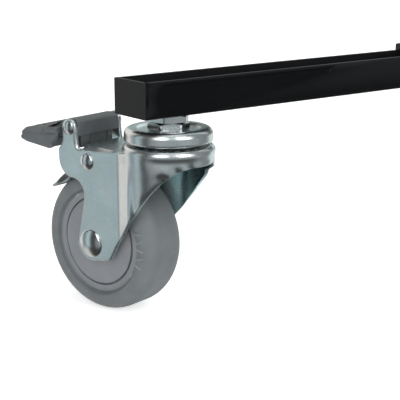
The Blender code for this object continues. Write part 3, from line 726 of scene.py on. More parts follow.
@dataclass(frozen=True)
class ZincPlate(Finish):
    """Electroplated zinc: faint cloudy tints, the sheet's own ripple, and, on the fork, painted shade inside.
    """

    tint: str = "#D9D3CB"
    tint_mm: float = 9.0
    tint_from: float = 0.45
    tint_to: float = 0.75
    tint_share: float = 0.6
    ripple_mm: float = 7.0
    ripple_depth_mm: float = 0.03
    # Painted shade inside the fork: hollow is its bluish colour, deep the dark grey it turns to towards the
    # skirt's front, and the hollow_ sizes bound where it is painted.
    hollow: str = ""
    deep: str = "#4E6062"
    deeper_shade_from_mm: float = 3.0
    deeper_shade_to_mm: float = 17.0
    hollow_radius_mm: float = 21.8
    hollow_half_mm: float = 16.9
    hollow_front_mm: float = -17.5
    hollow_top_mm: float = 86.8
    hollow_blur_mm: float = 0.2

    def tinted(self, tree: Tree, where: Socket, colour: Socket) -> Socket:
        """Mix the plating's tints into the colour, and on the fork the painted shade inside it.

        Args:
            tree: the material's node tree.
            where: the point on the piece.
            colour: the colour so far.

        Returns:
            The tinted colour, with the painted shade where there is one.
        """
        cloud = add_node(tree, "TexNoise",
                         {"Scale": 1 / (self.tint_mm * MM), "Detail": 4.0, "Roughness": 0.55,
                          "Distortion": 0.6}, {"Vector": where})
        share = add_node(tree, "MapRange",
                         {"From Min": self.tint_from, "From Max": self.tint_to, "To Max": self.tint_share},
                         {"Value": cloud.outputs["Fac"]})
        mixed = add_node(tree, "Mix", {7: linear(self.tint)}, {0: share.outputs["Result"], 6: colour},
                         data_type="RGBA").outputs[2]
        if not self.hollow:
            return mixed
        # Painted shade: the fork's inner faces below the head take a bluish colour, darker grey towards the
        # skirt's front.
        parts = add_node(tree, "SeparateXYZ", {}, {"Vector": where})
        flat = add_node(tree, "VectorMath", {1: (1.0, 1.0, 0.0)}, {0: where}, operation="MULTIPLY")
        reach = add_node(tree, "VectorMath", {}, {0: flat.outputs["Vector"]}, operation="LENGTH")
        across_it = add_node(tree, "Math", {}, {0: parts.outputs["Y"]}, operation="ABSOLUTE")
        masks = []
        for source, limit in ((reach.outputs["Value"], self.hollow_radius_mm),
                              (across_it.outputs["Value"], self.hollow_half_mm),
                              (parts.outputs["Z"], self.hollow_top_mm),
                              (parts.outputs["X"], self.hollow_front_mm)):
            masks.append(add_node(tree, "MapRange",
                                  {"From Min": (limit - self.hollow_blur_mm) * MM,
                                   "From Max": (limit + self.hollow_blur_mm) * MM,
                                   "To Min": 1.0, "To Max": 0.0}, {"Value": source}))
        round_part, leg_part, below, behind = (mask.outputs["Result"] for mask in masks)
        inner = add_node(tree, "Mix", {}, {0: behind, 2: round_part, 3: leg_part}, data_type="FLOAT")
        painted_shade_mask = add_node(tree, "Math", {}, {0: inner.outputs[0], 1: below}, operation="MULTIPLY")
        deeper_shade_share = add_node(tree, "MapRange",
                          {"From Min": self.deeper_shade_from_mm * MM, "From Max": self.deeper_shade_to_mm * MM},
                          {"Value": parts.outputs["X"]})
        inside = add_node(tree, "Mix", {6: linear(self.hollow), 7: linear(self.deep)},
                          {0: deeper_shade_share.outputs["Result"]}, data_type="RGBA")
        return add_node(tree, "Mix", {}, {0: painted_shade_mask.outputs["Value"], 6: mixed, 7: inside.outputs[2]},
                        data_type="RGBA").outputs[2]

    def relieved(self, tree: Tree, where: Socket, normal: Socket) -> Socket:
        """The relief with the sheet's own ripple added."""
        wave = add_node(tree, "TexNoise", {"Scale": 1 / (self.ripple_mm * MM), "Detail": 1.5},
                        {"Vector": where})
        return add_node(tree, "Bump", {"Strength": 1.0, "Distance": self.ripple_depth_mm * MM},
                        {"Height": wave.outputs["Fac"], "Normal": normal}).outputs["Normal"]


# Bright zinc plate on pressed steel: a thin metal coat that keeps the press's faint ripple, bluish where it
# is thick and warmer where it is thin, with paler rubbed edges. Its own grain and the rub marks are finer
# than a tenth of a millimetre and would not show, so the grain is drawn at 2.2 mm and the marks at 0.5 mm.
ZINC_PLATE = ZincPlate("zinc_plate", Slot.ZINC, "#D8E0E1", "#C8D2D4", "#F2F4F4", 0.28, 1.0,
                       mottle_mm=17.0, grain_mm=2.2, grain_depth_mm=0.001, gloss_spread=0.03, rubbed_and_highlight_share=0.7,
                       scratches=0.2)
# The same plate on the fork, with painted shade inside it: bluish between the legs and under the head, going
# to a dark grey towards the front of the skirt. The grain is as coarse as above.
FORK_ZINC_PAINTED_SHADE = replace(ZINC_PLATE, name="fork_zinc_painted_shade", hollow="#C4E2E5")
# Zinc plate on turned steel: a tighter grain and a little brighter. Turning marks stand about 0.1 mm apart
# and would not show, so they are drawn as a grain of 0.8 mm.
TURNED_ZINC = ZincPlate("turned_zinc", Slot.ZINC, "#D8DEDF", "#C8D0D2", "#F0F2F2", 0.2, 1.0,
                        mottle_mm=6.0, grain_mm=0.8, grain_depth_mm=0.0006, gloss_spread=0.03, rubbed_and_highlight_share=0.4,
                        tint_mm=4.0, ripple_mm=3.0, ripple_depth_mm=0.006)
# Black powder coat, baked on folded sheet: satin with a fine orange peel, some 0.8 mm from crest to crest,
# rubbed grey along the folds.
BLACK_POWDER_COAT = Finish("black_powder_coat", Slot.BLACK_STEEL, "#090A0B", "#060708", "#4A4B4D", 0.36, 0.0,
                           ior=1.45, mottle_mm=30.0, grain_mm=0.8, grain_depth_mm=0.01, gloss_spread=0.08,
                           shine=0.12, rubbed_and_highlight_share=0.35)
# Thermoplastic rubber tyre, injected over the core: soft matt grey that holds dust, paler on its raised ticks
# and edges, partly from wear and partly as a painted highlight. The dust's specks are about 0.1 mm wide and
# are drawn at 0.6 mm, so that they show.
TYRE_RUBBER = Finish("tyre_rubber", Slot.TYRE, "#6C7173", "#626769", "#C6CACA", 0.55, 0.0,
                     mottle_mm=12.0, grain_mm=0.6, grain_depth_mm=0.02, gloss_spread=0.1, rubbed_and_highlight_share=1.0)
# Moulded polypropylene core: a little smoother and lighter than the tyre, with soft flow marks. The mould's
# texture, about 0.1 mm wide, is drawn at 0.8 mm, so that it shows.
CORE_POLYPROPYLENE = Finish("core_polypropylene", Slot.CORE, "#828488", "#777A7E", "#9C9EA1", 0.46, 0.0,
                            mottle_mm=20.0, grain_mm=0.8, grain_depth_mm=0.015, gloss_spread=0.08, rubbed_and_highlight_share=0.4)
# Glass-filled nylon pedal: dark grey with a spark-eroded mould texture, polished at the edges by shoes. The
# texture, about 0.1 mm wide, is drawn at 0.7 mm, so that it shows.
PEDAL_NYLON = Finish("pedal_nylon", Slot.PEDAL, "#5E6264", "#505456", "#8A8E90", 0.48, 0.0,
                     mottle_mm=10.0, grain_mm=0.7, grain_depth_mm=0.03, gloss_spread=0.1, rubbed_and_highlight_share=0.8)
# Black nylon cups and hand knobs: moulded with pebbles of about 0.8 mm, and rubbed at the edges.
BLACK_NYLON = Finish("black_nylon", Slot.KNOB, "#242527", "#1B1C1E", "#4A4B4D", 0.5, 0.0,
                     mottle_mm=12.0, grain_mm=0.8, grain_depth_mm=0.03, gloss_spread=0.1, rubbed_and_highlight_share=0.45)


class Bench:
    """Where finished pieces are put together: it makes the objects and ties them to the frame."""

    def __init__(self) -> None:
        """Start with no finish mixed and no mesh made."""
        self.mixed: Dict[str, bpy.types.Material] = {}
        self.meshes: Dict[str, bpy.types.Mesh] = {}

    def material(self, finish: Finish) -> bpy.types.Material:
        """The finish's material, mixed once."""
        self.mixed[finish.name] = self.mixed.get(finish.name) or finish.build()
        return self.mixed[finish.name]

    def fit(self, name: str, node: str, draw: Callable[[], Form], finish: Finish, place: Matrix,
            shared: str = "") -> bpy.types.Object:
        """Make a piece, put it in place and let it stand for a node.

        Args:
            name: the piece's name.
            node: the node that it stands for, whose body it rides on.
            draw: draws the piece's form.
            finish: what its surface is.
            place: where it goes, in metres.
            shared: name of the mesh that like pieces share.

        Returns:
            The piece.
        """
        key = shared or name
        if key not in self.meshes:
            mesh = draw().mesh(key)
            mesh.materials.append(self.material(finish))
            self.meshes[key] = mesh
        made = bpy.data.objects.new(name, self.meshes[key])
        bpy.context.scene.collection.objects.link(made)
        made.matrix_world = place
        weighted = made.modifiers.new("even_shading", "WEIGHTED_NORMAL")
        weighted.keep_sharp = True
        bpy.context.view_layer.update()
        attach(made, body_of_node(node))
        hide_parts(node)
        log.info("%s stands for %s: %d faces", name, node, len(made.data.polygons))
        return made


def body_of_node(node: str) -> str:
    """The body that a node belongs to."""
    bodies = frame["record"]["behaviour"]["bodies"]
    return next(body for body, members in bodies.items() if node in members)


def joint(name: str) -> Dict:
    """A joint of the frame by its name."""
    return next(entry for entry in frame["joints"] if entry["name"] == name)


def frame_at(origin: Sequence[float], along: Vector) -> Matrix:
    """A level frame at a place on the floor, in metres, whose X axis points along a direction."""
    heading = math.atan2(along.y, along.x)
    return Matrix.Translation((origin[0], origin[1], 0)) @ Matrix.Rotation(heading, 4, "Z")


@dataclass(frozen=True)
class Dent:
    """A dent that the press left in the skirt, sharper above than below."""

    angle: float
    height: float
    wide: float
    tall: float
    depth: float
    run_out: float = 2.6

    def press(self, angle: float, height: float) -> float:
        """How deep the dent is at a place on the skirt.

        Args:
            angle: degrees from the skirt's front.
            height: height above the floor.

        Returns:
            The depth.
        """
        rise = height - self.height
        reach = self.tall if rise > 0 else self.run_out * self.tall
        return self.depth * math.exp(-((angle - self.angle) / self.wide) ** 2 - (rise / reach) ** 2)


@dataclass
class Castor:
    """A braked swivel castor: stem, bearing, pressed fork, wheel, pedal and brake plate."""

    number: int
    place: Matrix
    wheel_radius: float = 37.5
    trail: float = 38.1
    sheet: float = 2.3
    leg_outside: float = 18.0
    boss_radius: float = 9.2
    axle_hole: float = 4.6
    fork_rim: Flat = (0.5, 0.35)
    ear_rim_more: Flat = (0.65, 0.4)
    mesh_step: float = 1.2
    skirt_radius: float = 23.6
    skirt_pinch: float = 0.55
    skirt_lean: float = 0.06
    cut_lip: float = 0.55
    cut_lip_tall: float = 1.5
    dents: Tuple[Dent, ...] = (Dent(57.0, 78.5, 6.5, 2.1, 1.35), Dent(39.0, 82.2, 5.0, 1.7, 1.05),
                               Dent(22.0, 84.1, 5.0, 1.3, 0.75))
    crease_x: float = -17.5
    crease_radius: float = 7.0
    flare_curl: float = 6.0
    head_top: float = 92.4
    head_roll: float = 2.9
    head_run: float = 5.0
    head_bore: float = 6.3
    head_shy: float = 0.05
    head_back: float = math.radians(104)
    plate_top: float = 88.6
    plate_front: float = -19.0
    plate_back: float = -43.6
    plate_fold_front: float = 17.6
    plate_fold_back: float = 13.7
    ear_centre: Flat = (-52.3, 96.6)
    ear_radius: float = 4.8
    pedal_pivot: Flat = (-52.1, 97.2)
    pedal_hole: float = 3.1
    shoe_pivot: Flat = (-39.6, 80.8)
    shoe_hole: float = 3.4
    tyre_half: float = 14.7
    tyre_shoulder: float = 8.7
    tyre_seat: float = 26.9
    core_half: float = 12.2
    core_disc: float = 22.9
    core_groove: float = 1.9
    tick_radius: float = 30.6
    tick_lean: float = 0.35
    tick_angles: Tuple[float, ...] = (17.0, 9.0, 1.0, -7.5, -16.0)
    hex_flats: float = 19.0
    hex_turn: float = math.radians(-41.7)
    hex_tier_turn: float = math.radians(14)
    hex_broken: float = 0.25
    stem_radius: float = 5.9
    stem_top: float = 122.0
    thread_start: float = 107.2
    thread_pitch: float = 1.75
    thread_depth: float = 0.9765
    ball_radius: float = 2.1
    ball_circle: float = 17.0
    ball_height: float = 95.0
    balls: int = 20
    pedal_half: float = 19.5
    pedal_wall: float = 2.6
    pedal_tuck: float = 0.6
    tread_back: float = -59.5
    tread_half: float = 19.0
    shoe_half: float = 12.5
    shoe_sheet: float = 1.4
    shoe_side: float = 2.9

    @property
    def axle(self) -> Flat:
        """The wheel's centre seen from the side."""
        return -self.trail, self.wheel_radius

    @staticmethod
    def lying_at(at: Flat) -> Matrix:
        """Lays a round across the fork, at a place seen from the side."""
        return Matrix.Translation((at[0], 0, at[1])) @ LYING_ALONG_Y

    def fork_plan(self) -> BentPath:
        """Half of the fork's outer face seen from above, from its front round to the back of a leg.

        Returns:
            The line, whose flare is as long as brings the leg to its distance.
        """
        corner = Vector((self.crease_x, self.leg_outside))
        lead = math.sqrt(corner.length ** 2 - self.skirt_radius ** 2)
        low, high, halvings, leg_run = 90.0, 135.0, 24, 50
        for _ in range(halvings):
            swing = (low + high) / 2
            bend = swing - 90 - self.flare_curl
            flare = lead - self.crease_radius * math.tan(math.radians(bend) / 2)
            path = BentPath((self.skirt_radius, 0), 90, [
                (0, swing, self.skirt_radius), (0, -self.flare_curl, flare / math.radians(self.flare_curl)),
                (0, -bend, self.crease_radius), (leg_run, 0, 0)])
            if path.up[-1] > self.leg_outside:
                low = swing
            else:
                high = swing
        return path

    def fork_side(self) -> List[Flat]:
        """One side of the fork, from the front of its skirt down, round the leg and back over its top.

        Returns:
            The line's points, seen from the side.
        """
        front = smooth([(self.skirt_radius, 83.75), (21.8, 83.5), (18.6, 82.0), (15.2, 79.4), (6.7, 71.1),
                        (-2.4, 61.4), (-11.4, 50.8), (-17.6, 43.0)], 5)
        toe = rounded([(-19.3, 40.4, 0), (-24.9, 30.4, 3.4), (-36.0, 28.4, 0)], 6, closed=False)
        boss = arc(self.axle, self.boss_radius, 270, 186, 14)
        back_edge = [(-45.6, 44.5), (-43.2, 56.0)]
        hollow = arc((-50.5, 62.6), 8.3, 0, 90, 12)
        haunch = arc((-50.5, 80.2), 9.3, 270, 184, 14)
        step = smooth([(-60.0, 85.0), (-58.6, 87.0), (-57.3, 90.2), (-57.1, 93.8)], 4)
        ear = arc(self.ear_centre, self.ear_radius, 180, 0, 20)
        shoulder = rounded([(-47.3, 92.6, 0), (-46.4, 86.3, 3.0), (-41.8, 86.0, 0)], 6, closed=False)
        return front + toe + boss + back_edge + hollow + haunch + step + ear + shoulder + [(-20.6, 87.5)]

    def neck(self, angle: float, height: float) -> float:
        """How far the skirt is pressed in: its neck, its lean at the corners, its cut lip and its dents.

        Args:
            angle: degrees from the skirt's front, to either side.
            height: height above the floor.

        Returns:
            The distance inwards.
        """
        off = abs(angle)
        at_neck = ease(height, 80.0, 87.3) * (1 - ease(height, 87.5, 88.7)) * (1 - ease(off, 62, 88))
        at_corner = ease(off, 48, 64) * (1 - ease(off, 100, 112))
        cut_edge = 79.6 - 0.36 * (off - 50.0)
        lip = math.exp(-((height - cut_edge) / self.cut_lip_tall) ** 2)
        pressed = self.cut_lip * lip * ease(off, 50, 58) * (1 - ease(off, 82, 92))
        for dent in self.dents:
            pressed += dent.press(off, height)
        lean = self.skirt_lean * max(85.0 - height, 0.0)
        return self.skirt_pinch * at_neck + pressed + lean * at_corner

    def fork(self) -> Form:
        """The pressed fork: wall, rolled head and the back plate with its fold.

        Returns:
            The form.
        """
        plan = self.fork_plan()
        roll_start = self.head_top - self.head_roll
        quarter = self.head_roll * math.pi / 2
        head_end = roll_start + quarter + self.head_run
        crease = plan.place_of(self.crease_x)

        def wall_at(u: float, v: float, depth: float) -> Spot:
            """Carry a point of the flat wall to its place.

            Args:
                u: distance along the wall from the fork's front.
                v: distance up the wall, counted on round the rolled head.
                depth: distance below the outer face.

            Returns:
                The point.
            """
            side = -1 if u < 0 else 1
            if abs(u) > crease:
                x, y, _ = plan.at(abs(u), depth)
                return x, side * y, v
            turn = min(max(v - roll_start, 0.0), quarter) / self.head_roll
            flat = max(v - roll_start - quarter, 0.0)
            inward = self.head_roll * (1 - math.cos(turn)) + flat + depth * math.cos(turn)
            height = min(v, roll_start) + (self.head_roll - depth) * math.sin(turn)
            if v < roll_start + quarter:
                inward += self.neck(math.degrees(u / self.skirt_radius), height)
            x, y, _ = plan.at(abs(u), inward)
            return x, side * y, height

        half = [(plan.place_of(x), z) for x, z in dense(self.fork_side(), self.mesh_step, closed=False)]
        shoulder = plan.place_of(self.crease_x + 1.6)
        head_back = self.skirt_radius * self.head_back
        half += [(shoulder, 88.0), (head_back + 1.2, 90.6), (head_back, 92.6), (head_back - 1.0, head_end)]
        half = (dense(half, self.mesh_step, closed=False)
                + dense([half[-1], (0.6, head_end)], self.mesh_step, closed=False)[1:])
        half[0] = (0.0, half[0][1])
        outline = half + [(0.0, head_end)] + [(-u, v) for u, v in half[::-1]][:-1]
        drilled = ((self.axle, self.axle_hole), (self.shoe_pivot, self.shoe_hole),
                   (self.pedal_pivot, self.pedal_hole))
        holes = [hole((side * plan.place_of(x), z), radius) for (x, z), radius in drilled for side in (1, -1)]
        ear_start, ear_end = plan.place_of(-40.5), plan.place_of(-44.5)

        def rim(u: float, v: float) -> Flat:
            """The rim's roundings, outside and inside, larger on the ears."""
            on_ear = ease(v, 85.4, 87.0) * ease(abs(u), ear_start, ear_end)
            return tuple(plain + more * on_ear for plain, more in zip(self.fork_rim, self.ear_rim_more))

        form = Form()
        form.plate(outline, self.sheet, wall_at, edge_at=rim, holes=holes, spacing=self.mesh_step)
        self.add_head_ring(form)
        self.add_back_plate(form)
        return form

    def add_head_ring(self, form: Form) -> None:
        """Add the turned head inside the wall, whose roll shows over the back plate.

        Args:
            form: the fork's form.
        """
        centre = (self.skirt_radius - self.head_roll, self.head_top - self.head_roll)
        top, under = self.head_top - self.head_shy, self.head_top - self.sheet

        def column(angle: float) -> List[Flat]:
            """The head's section, drawn in where the wall covers it.

            Args:
                angle: the section's angle, in radians.

            Returns:
                The section.
            """
            bare = ease(abs((math.degrees(angle) + 180) % 360 - 180), 92, 101)
            outer = arc(centre, self.head_roll - self.head_shy, 90, 25 - 45 * bare, 10)
            return ([(self.head_bore, top - 0.4), (self.head_bore + 0.4, top)] + outer
                    + [(self.skirt_radius - self.sheet, outer[-1][1] - 0.3), (self.skirt_radius - 3.4, under),
                       (self.head_bore + 0.6, under), (self.head_bore, under + 0.4)])

        form.spin(column, steps=96)

    def add_back_plate(self, form: Form) -> None:
        """Add the plate between the legs, folded down to each leg's top edge.

        Args:
            form: the fork's form.
        """
        edge = self.leg_outside - 0.15
        beside, between = 10, 43
        points: List[Spot] = []
        top: List[List[int]] = []
        for x in np.linspace(-15.0, self.plate_back, 25):
            share = min(max((x - self.plate_front) / (self.plate_back - self.plate_front), 0.0), 1.0)
            fold = self.plate_fold_front + (self.plate_fold_back - self.plate_fold_front) * share
            leg_top = 87.5 - 1.5 * share
            line = (list(np.linspace(-edge, -fold, beside)) + list(np.linspace(-fold, fold, between))[1:-1]
                    + list(np.linspace(fold, edge, beside)))
            top.append(list(range(len(points), len(points) + len(line))))
            for y in line:
                drop = min(max((abs(y) - fold) / max(self.leg_outside - fold, 0.2), 0.0), 1.0)
                points.append((x, y, self.plate_top - (self.plate_top - leg_top) * drop))
        base = [[i + len(points) for i in row] for row in top]
        points += [(x, y, z - self.sheet) for x, y, z in points]
        faces = []
        for layer in (top, base):
            for first, second in zip(layer, layer[1:]):
                faces += [(first[i], first[i + 1], second[i + 1], second[i]) for i in range(len(first) - 1)]
        for end in (0, -1):
            faces += [(top[end][i], top[end][i + 1], base[end][i + 1], base[end][i])
                      for i in range(len(top[0]) - 1)]
            faces += [(top[i][end], top[i + 1][end], base[i + 1][end], base[i][end])
                      for i in range(len(top) - 1)]
        form.add(points, faces)

    def stem(self) -> Form:
        """The stem: kingpin with its riveted foot, two-tier hexagon and rolled thread.

        Returns:
            The form.
        """
        form = Form()
        upper_turn = self.hex_turn + self.hex_tier_turn
        for low, high, turn in ((99.8, 103.9, self.hex_turn), (104.1, 107.7, upper_turn)):
            tier = hexagon(low, high, self.hex_flats, turn=turn, broken=self.hex_broken, under=False)
            form.spin(tier, steps=96, start=turn)
        form.spin(steady([(0, 104.6), (8.6, 104.6), (8.6, 103.4), (0, 103.4)]), steps=48)
        form.spin(steady([(0, 100.4), (5.0, 100.4), (5.0, 86.0)] + arc((7.2, 85.2), 0.85, 90, -60, 6)
                         + [(6.6, 84.15), (0, 84.15)]), steps=48)
        self.add_thread(form)
        return form

    def add_thread(self, form: Form) -> None:
        """Add the stem's rolled thread, its end chamfered.

        Args:
            form: the stem's form.
        """
        steps, rows_in_a_turn = 36, 6
        chamfer, slope = 1.2, 0.9
        low, high, pitch = self.thread_start, self.stem_top, self.thread_pitch
        rows = int((high - low) / pitch * rows_in_a_turn)
        points, index = [], []
        for j in range(rows + 1):
            height = low + (high - low) * j / rows
            taper = max(0.0, height - (high - chamfer)) * slope
            index.append(list(range(len(points), len(points) + steps)))
            for i in range(steps):
                phase = (height / pitch - i / steps) % 1.0
                cut = self.thread_depth * (1 + math.cos(2 * math.pi * phase)) / 2
                reach = self.stem_radius - cut - taper
                angle = 2 * math.pi * i / steps
                points.append((reach * math.cos(angle), reach * math.sin(angle), height))
        faces = [tuple(index[0]), tuple(reversed(index[-1]))]
        for lower, upper in zip(index, index[1:]):
            faces += [(lower[i], lower[(i + 1) % steps], upper[(i + 1) % steps], upper[i])
                      for i in range(steps)]
        form.add(points, faces)

    def upper_race(self) -> Form:
        """The cap over the balls: a shallow dish with a fat rolled rim.

        Returns:
            The form.
        """
        top = smooth([(5.4, 99.1), (6.0, 99.4), (11.6, 99.4), (13.6, 99.5), (15.0, 99.95), (16.3, 100.75),
                      (17.6, 101.0)], 4)
        roll = arc((18.9, 97.5), 3.5, 84, 8, 16) + arc((20.75, 95.35), 1.7, -6, -70, 8)
        under = [(20.6, 93.8), (20.1, 94.4), (19.6, 96.4), (18.6, 98.0), (16.6, 98.6), (13.4, 97.8),
                 (5.4, 97.6)]
        return Form().spin(steady(top + roll + under), steps=128)

    def ball_ring(self) -> Form:
        """The bearing balls in their cage.

        Returns:
            The form.
        """
        form = Form()
        ball = arc((0, 0), self.ball_radius, 90, -90, 10)
        for i in range(self.balls):
            angle = 2 * math.pi * i / self.balls
            spot = (self.ball_circle * math.cos(angle), self.ball_circle * math.sin(angle), self.ball_height)
            form.spin(steady(ball), steps=16, place=Matrix.Translation(spot))
        return form.spin(steady(rounded_box((15.6, 95.5), (18.4, 94.5), [0.2] * 4, 2)), steps=72)

    def lower_race(self) -> Form:
        """The hardened washer under the fork's head."""
        return Form().spin(steady(rounded_box((5.3, 89.6), (14.5, 86.5), (0.3, 0.5, 0.8, 0.3), 3)), steps=64)

    def dome_pin(self, shank: float, head: float, rise: float, at: Flat) -> Form:
        """A rivet across the fork with a low domed head outside each leg.

        Args:
            shank: its shank's radius.
            head: its heads' radius.
            rise: how high a head stands.
            at: where it goes through the fork, seen from the side.

        Returns:
            The form.
        """
        foot = self.leg_outside + 0.05
        skirt, chamfer = rise * 0.3, 0.12
        ball = (head ** 2 + (rise - skirt) ** 2) / (2 * (rise - skirt))
        sweep = math.degrees(math.asin(head * 0.96 / ball))
        dome = arc((0, foot + rise - ball), ball, 90, 90 - sweep, 10)
        half = dome + [(head, foot + skirt * 0.7), (head, foot + chamfer), (head - chamfer, foot),
                       (shank, foot)]
        return Form().spin(steady(both_halves(half)), steps=56, place=self.lying_at(at))

    def axle_pin(self) -> Form:
        """The axle, riveted over at both ends."""
        return self.dome_pin(shank=4.0, head=7.3, rise=2.2, at=self.axle)

    def brake_rivet(self) -> Form:
        """The rivet that the brake plate rocks on."""
        return self.dome_pin(shank=2.8, head=4.3, rise=1.6, at=self.shoe_pivot)

    def pedal_pin(self) -> Form:
        """The pin that the pedal turns on."""
        return self.dome_pin(shank=2.5, head=3.5, rise=1.2, at=self.pedal_pivot)

    def tyre_side(self, radius: float) -> float:
        """How far the tyre's side stands from its middle plane at a radius."""
        past = max(radius - (self.wheel_radius - self.tyre_shoulder), 0.0)
        return self.tyre_half - self.tyre_shoulder + math.sqrt(max(self.tyre_shoulder ** 2 - past ** 2, 0.0))

    def tyre(self) -> Form:
        """The soft tyre: a crowned tread, round shoulders, a lip at the core and a row of small ticks.

        Returns:
            The form.
        """
        seat = self.tyre_seat + 0.3
        centre = (self.wheel_radius - self.tyre_shoulder, self.tyre_half - self.tyre_shoulder)
        lip = [(seat, 11.6), (seat - 0.7, 12.05), (seat - 0.75, self.core_half + 0.03)]
        side = smooth([(seat - 0.4, self.core_half + 0.1), (seat + 0.2, 12.6), (27.9, 13.75),
                       (28.7, self.tyre_half - 0.06), (29.3, self.tyre_side(29.3))], 4)[:-1]
        half = lip + side + arc(centre, self.tyre_shoulder, 86, 0, 26)
        full = [(seat, 0.0)] + half + [(self.wheel_radius, 3.0), (self.wheel_radius, 0.0)]
        other = [(reach, -along) for reach, along in full[-2:0:-1]]
        form = Form().spin(steady(full + other), steps=144, place=self.lying_at(self.axle))
        for side_of in (-1, 1):
            for i, angle in enumerate(self.tick_angles):
                self.add_tick(form, side_of, angle, self.tick_lean if i % 2 else -self.tick_lean)
        return form

    def add_tick(self, form: Form, side: int, angle: float, lean: float) -> None:
        """Add a small raised tick on the tyre's side.

        Args:
            form: the tyre's form.
            side: -1 for the side seen first, 1 for the other.
            angle: where it stands round the wheel, in degrees.
            lean: how far it slants, in radians.
        """
        rise, long, wide = 0.5, 1.9, 0.42
        outline = rounded_box((-long, -wide), (long, wide), [wide * 0.9] * 4, 4)
        middle = math.radians(angle)

        def on_side(u: float, v: float, depth: float) -> Spot:
            """Lay the tick on the tyre.

            Args:
                u: distance along the tick.
                v: distance across it.
                depth: distance below its face.

            Returns:
                The point.
            """
            across_tick = u * math.sin(lean) + v * math.cos(lean)
            radius = self.tick_radius + u * math.cos(lean) - v * math.sin(lean)
            turn = middle + across_tick / self.tick_radius
            out = side * (self.tyre_side(radius) + rise - depth)
            return self.axle[0] + radius * math.cos(turn), out, self.axle[1] + radius * math.sin(turn)

        form.plate(outline, 1.0, on_side, edge=0.2, steps=2)

    def core(self) -> Form:
        """The moulded core: a flat disc, a seam and the rim that the tyre sits on.

        Returns:
            The form.
        """
        disc, seam, ledge = self.core_half + 0.3, self.core_disc, self.core_half
        half = [(7.4, disc - 0.25), (7.65, disc), (seam - 0.5, disc), (seam - 0.2, disc - 0.12),
                (seam - 0.15, disc - 0.4), (seam - 0.1, disc - self.core_groove),
                (seam + 0.74, disc - self.core_groove), (seam + 0.8, ledge - 0.3), (seam + 1.1, ledge),
                (self.tyre_seat - 0.5, ledge), (self.tyre_seat, ledge - 0.45)]
        return Form().spin(steady(both_halves(half)), steps=128, place=self.lying_at(self.axle))

    def bush(self) -> Form:
        """The bush that the wheel turns on."""
        half = self.leg_outside - self.sheet - 0.3
        return Form().spin(steady(rounded_box((4.3, half), (7.1, -half), (0.2, 0.4, 0.4, 0.2), 3)), steps=48,
                           place=self.lying_at(self.axle))

    @staticmethod
    def slab(form: Form, outline: Sequence[Flat], low: float, high: float, edge: float) -> None:
        """Add a moulded block drawn from the side between two distances across.

        Args:
            form: what it is added to.
            outline: its outline seen from the side.
            low: its near face.
            high: its far face.
            edge: rounding of its rims.
        """
        form.plate(outline, high - low, lambda u, v, depth: (u, high - depth, v), edge=edge)

    def pedal(self) -> Form:
        """The moulded pedal: flat-topped barrel, stepped cam, and a hollow tread with a raised pad.

        Returns:
            The form.
        """
        form = Form()
        self.add_barrel(form)
        self.add_walls(form)
        self.add_tread(form)
        return form

    def add_barrel(self, form: Form) -> None:
        """Add the barrel round the pin, and the cam in three steps under it.

        Args:
            form: the pedal's form.
        """
        barrel = rounded([(-47.6, 92.4, 0.8), (-47.6, 99.9, 1.4), (-49.3, 101.2, 1.2), (-55.2, 101.2, 2.4),
                          (-62.6, 97.4, 1.0), (-63.0, 91.6, 0.5), (-56.0, 91.0, 0.8)], 4)
        self.slab(form, barrel, -15.3, 15.3, 0.45)
        back, top = -55.4, 94.0
        for near, far, low, front in ((-12.0, -5.4, 86.0, -48.9), (-5.0, 7.9, 86.4, -49.2),
                                      (8.3, 12.0, 86.8, -49.0)):
            cam = rounded([(front, top, 0.2), (back, top, 0.2), (back, low + 1.8, 0.6),
                           (back + 2.0, low, 0.8), (front, low, 0.7)], 3)
            self.slab(form, cam, near, far, 0.45)
        joined = rounded_box((-49.8, top), (-55.0, 88.9), (0.2, 0.2, 0.5, 0.5), 3)
        self.slab(form, joined, -11.5, 11.6, 0.2)

    def add_walls(self, form: Form) -> None:
        """Add the tread's side walls, its nose and the web between the walls.

        Args:
            form: the pedal's form.
        """
        wall = rounded([(-63.5, 88.0, 1.5), (-60.2, 91.5, 1.0), (-59.8, self.pedal_line(-59.8), 0.5),
                        (-84.4, self.pedal_line(-84.4), 2.4), (-86.7, 89.4, 0.8), (-86.4, 87.8, 1.4),
                        (-82.0, 86.5, 2.0), (-65.4, 84.7, 1.0), (-63.5, 85.7, 0.6)], 5)
        inside = self.pedal_half - self.pedal_wall
        for side in (-1, 1):
            low, high = sorted((side * self.pedal_half, side * inside))
            self.slab(form, wall, low, high, 0.4)
        nose = rounded([(-83.0, 90.5, 0.5), (-85.2, 91.0, 1.0), (-86.7, 89.4, 0.8), (-86.4, 87.8, 1.4),
                        (-83.0, 86.8, 0.6)], 5)
        web = rounded([(-61.8, 90.0, 0.2), (-61.8, 94.6, 0.3), (-66.4, 93.6, 0.3), (-66.4, 85.4, 0.3),
                       (-64.4, 85.4, 0.3)], 3)
        for outline in (nose, web):
            self.slab(form, outline, -inside - self.pedal_tuck, inside + self.pedal_tuck, 0.3)

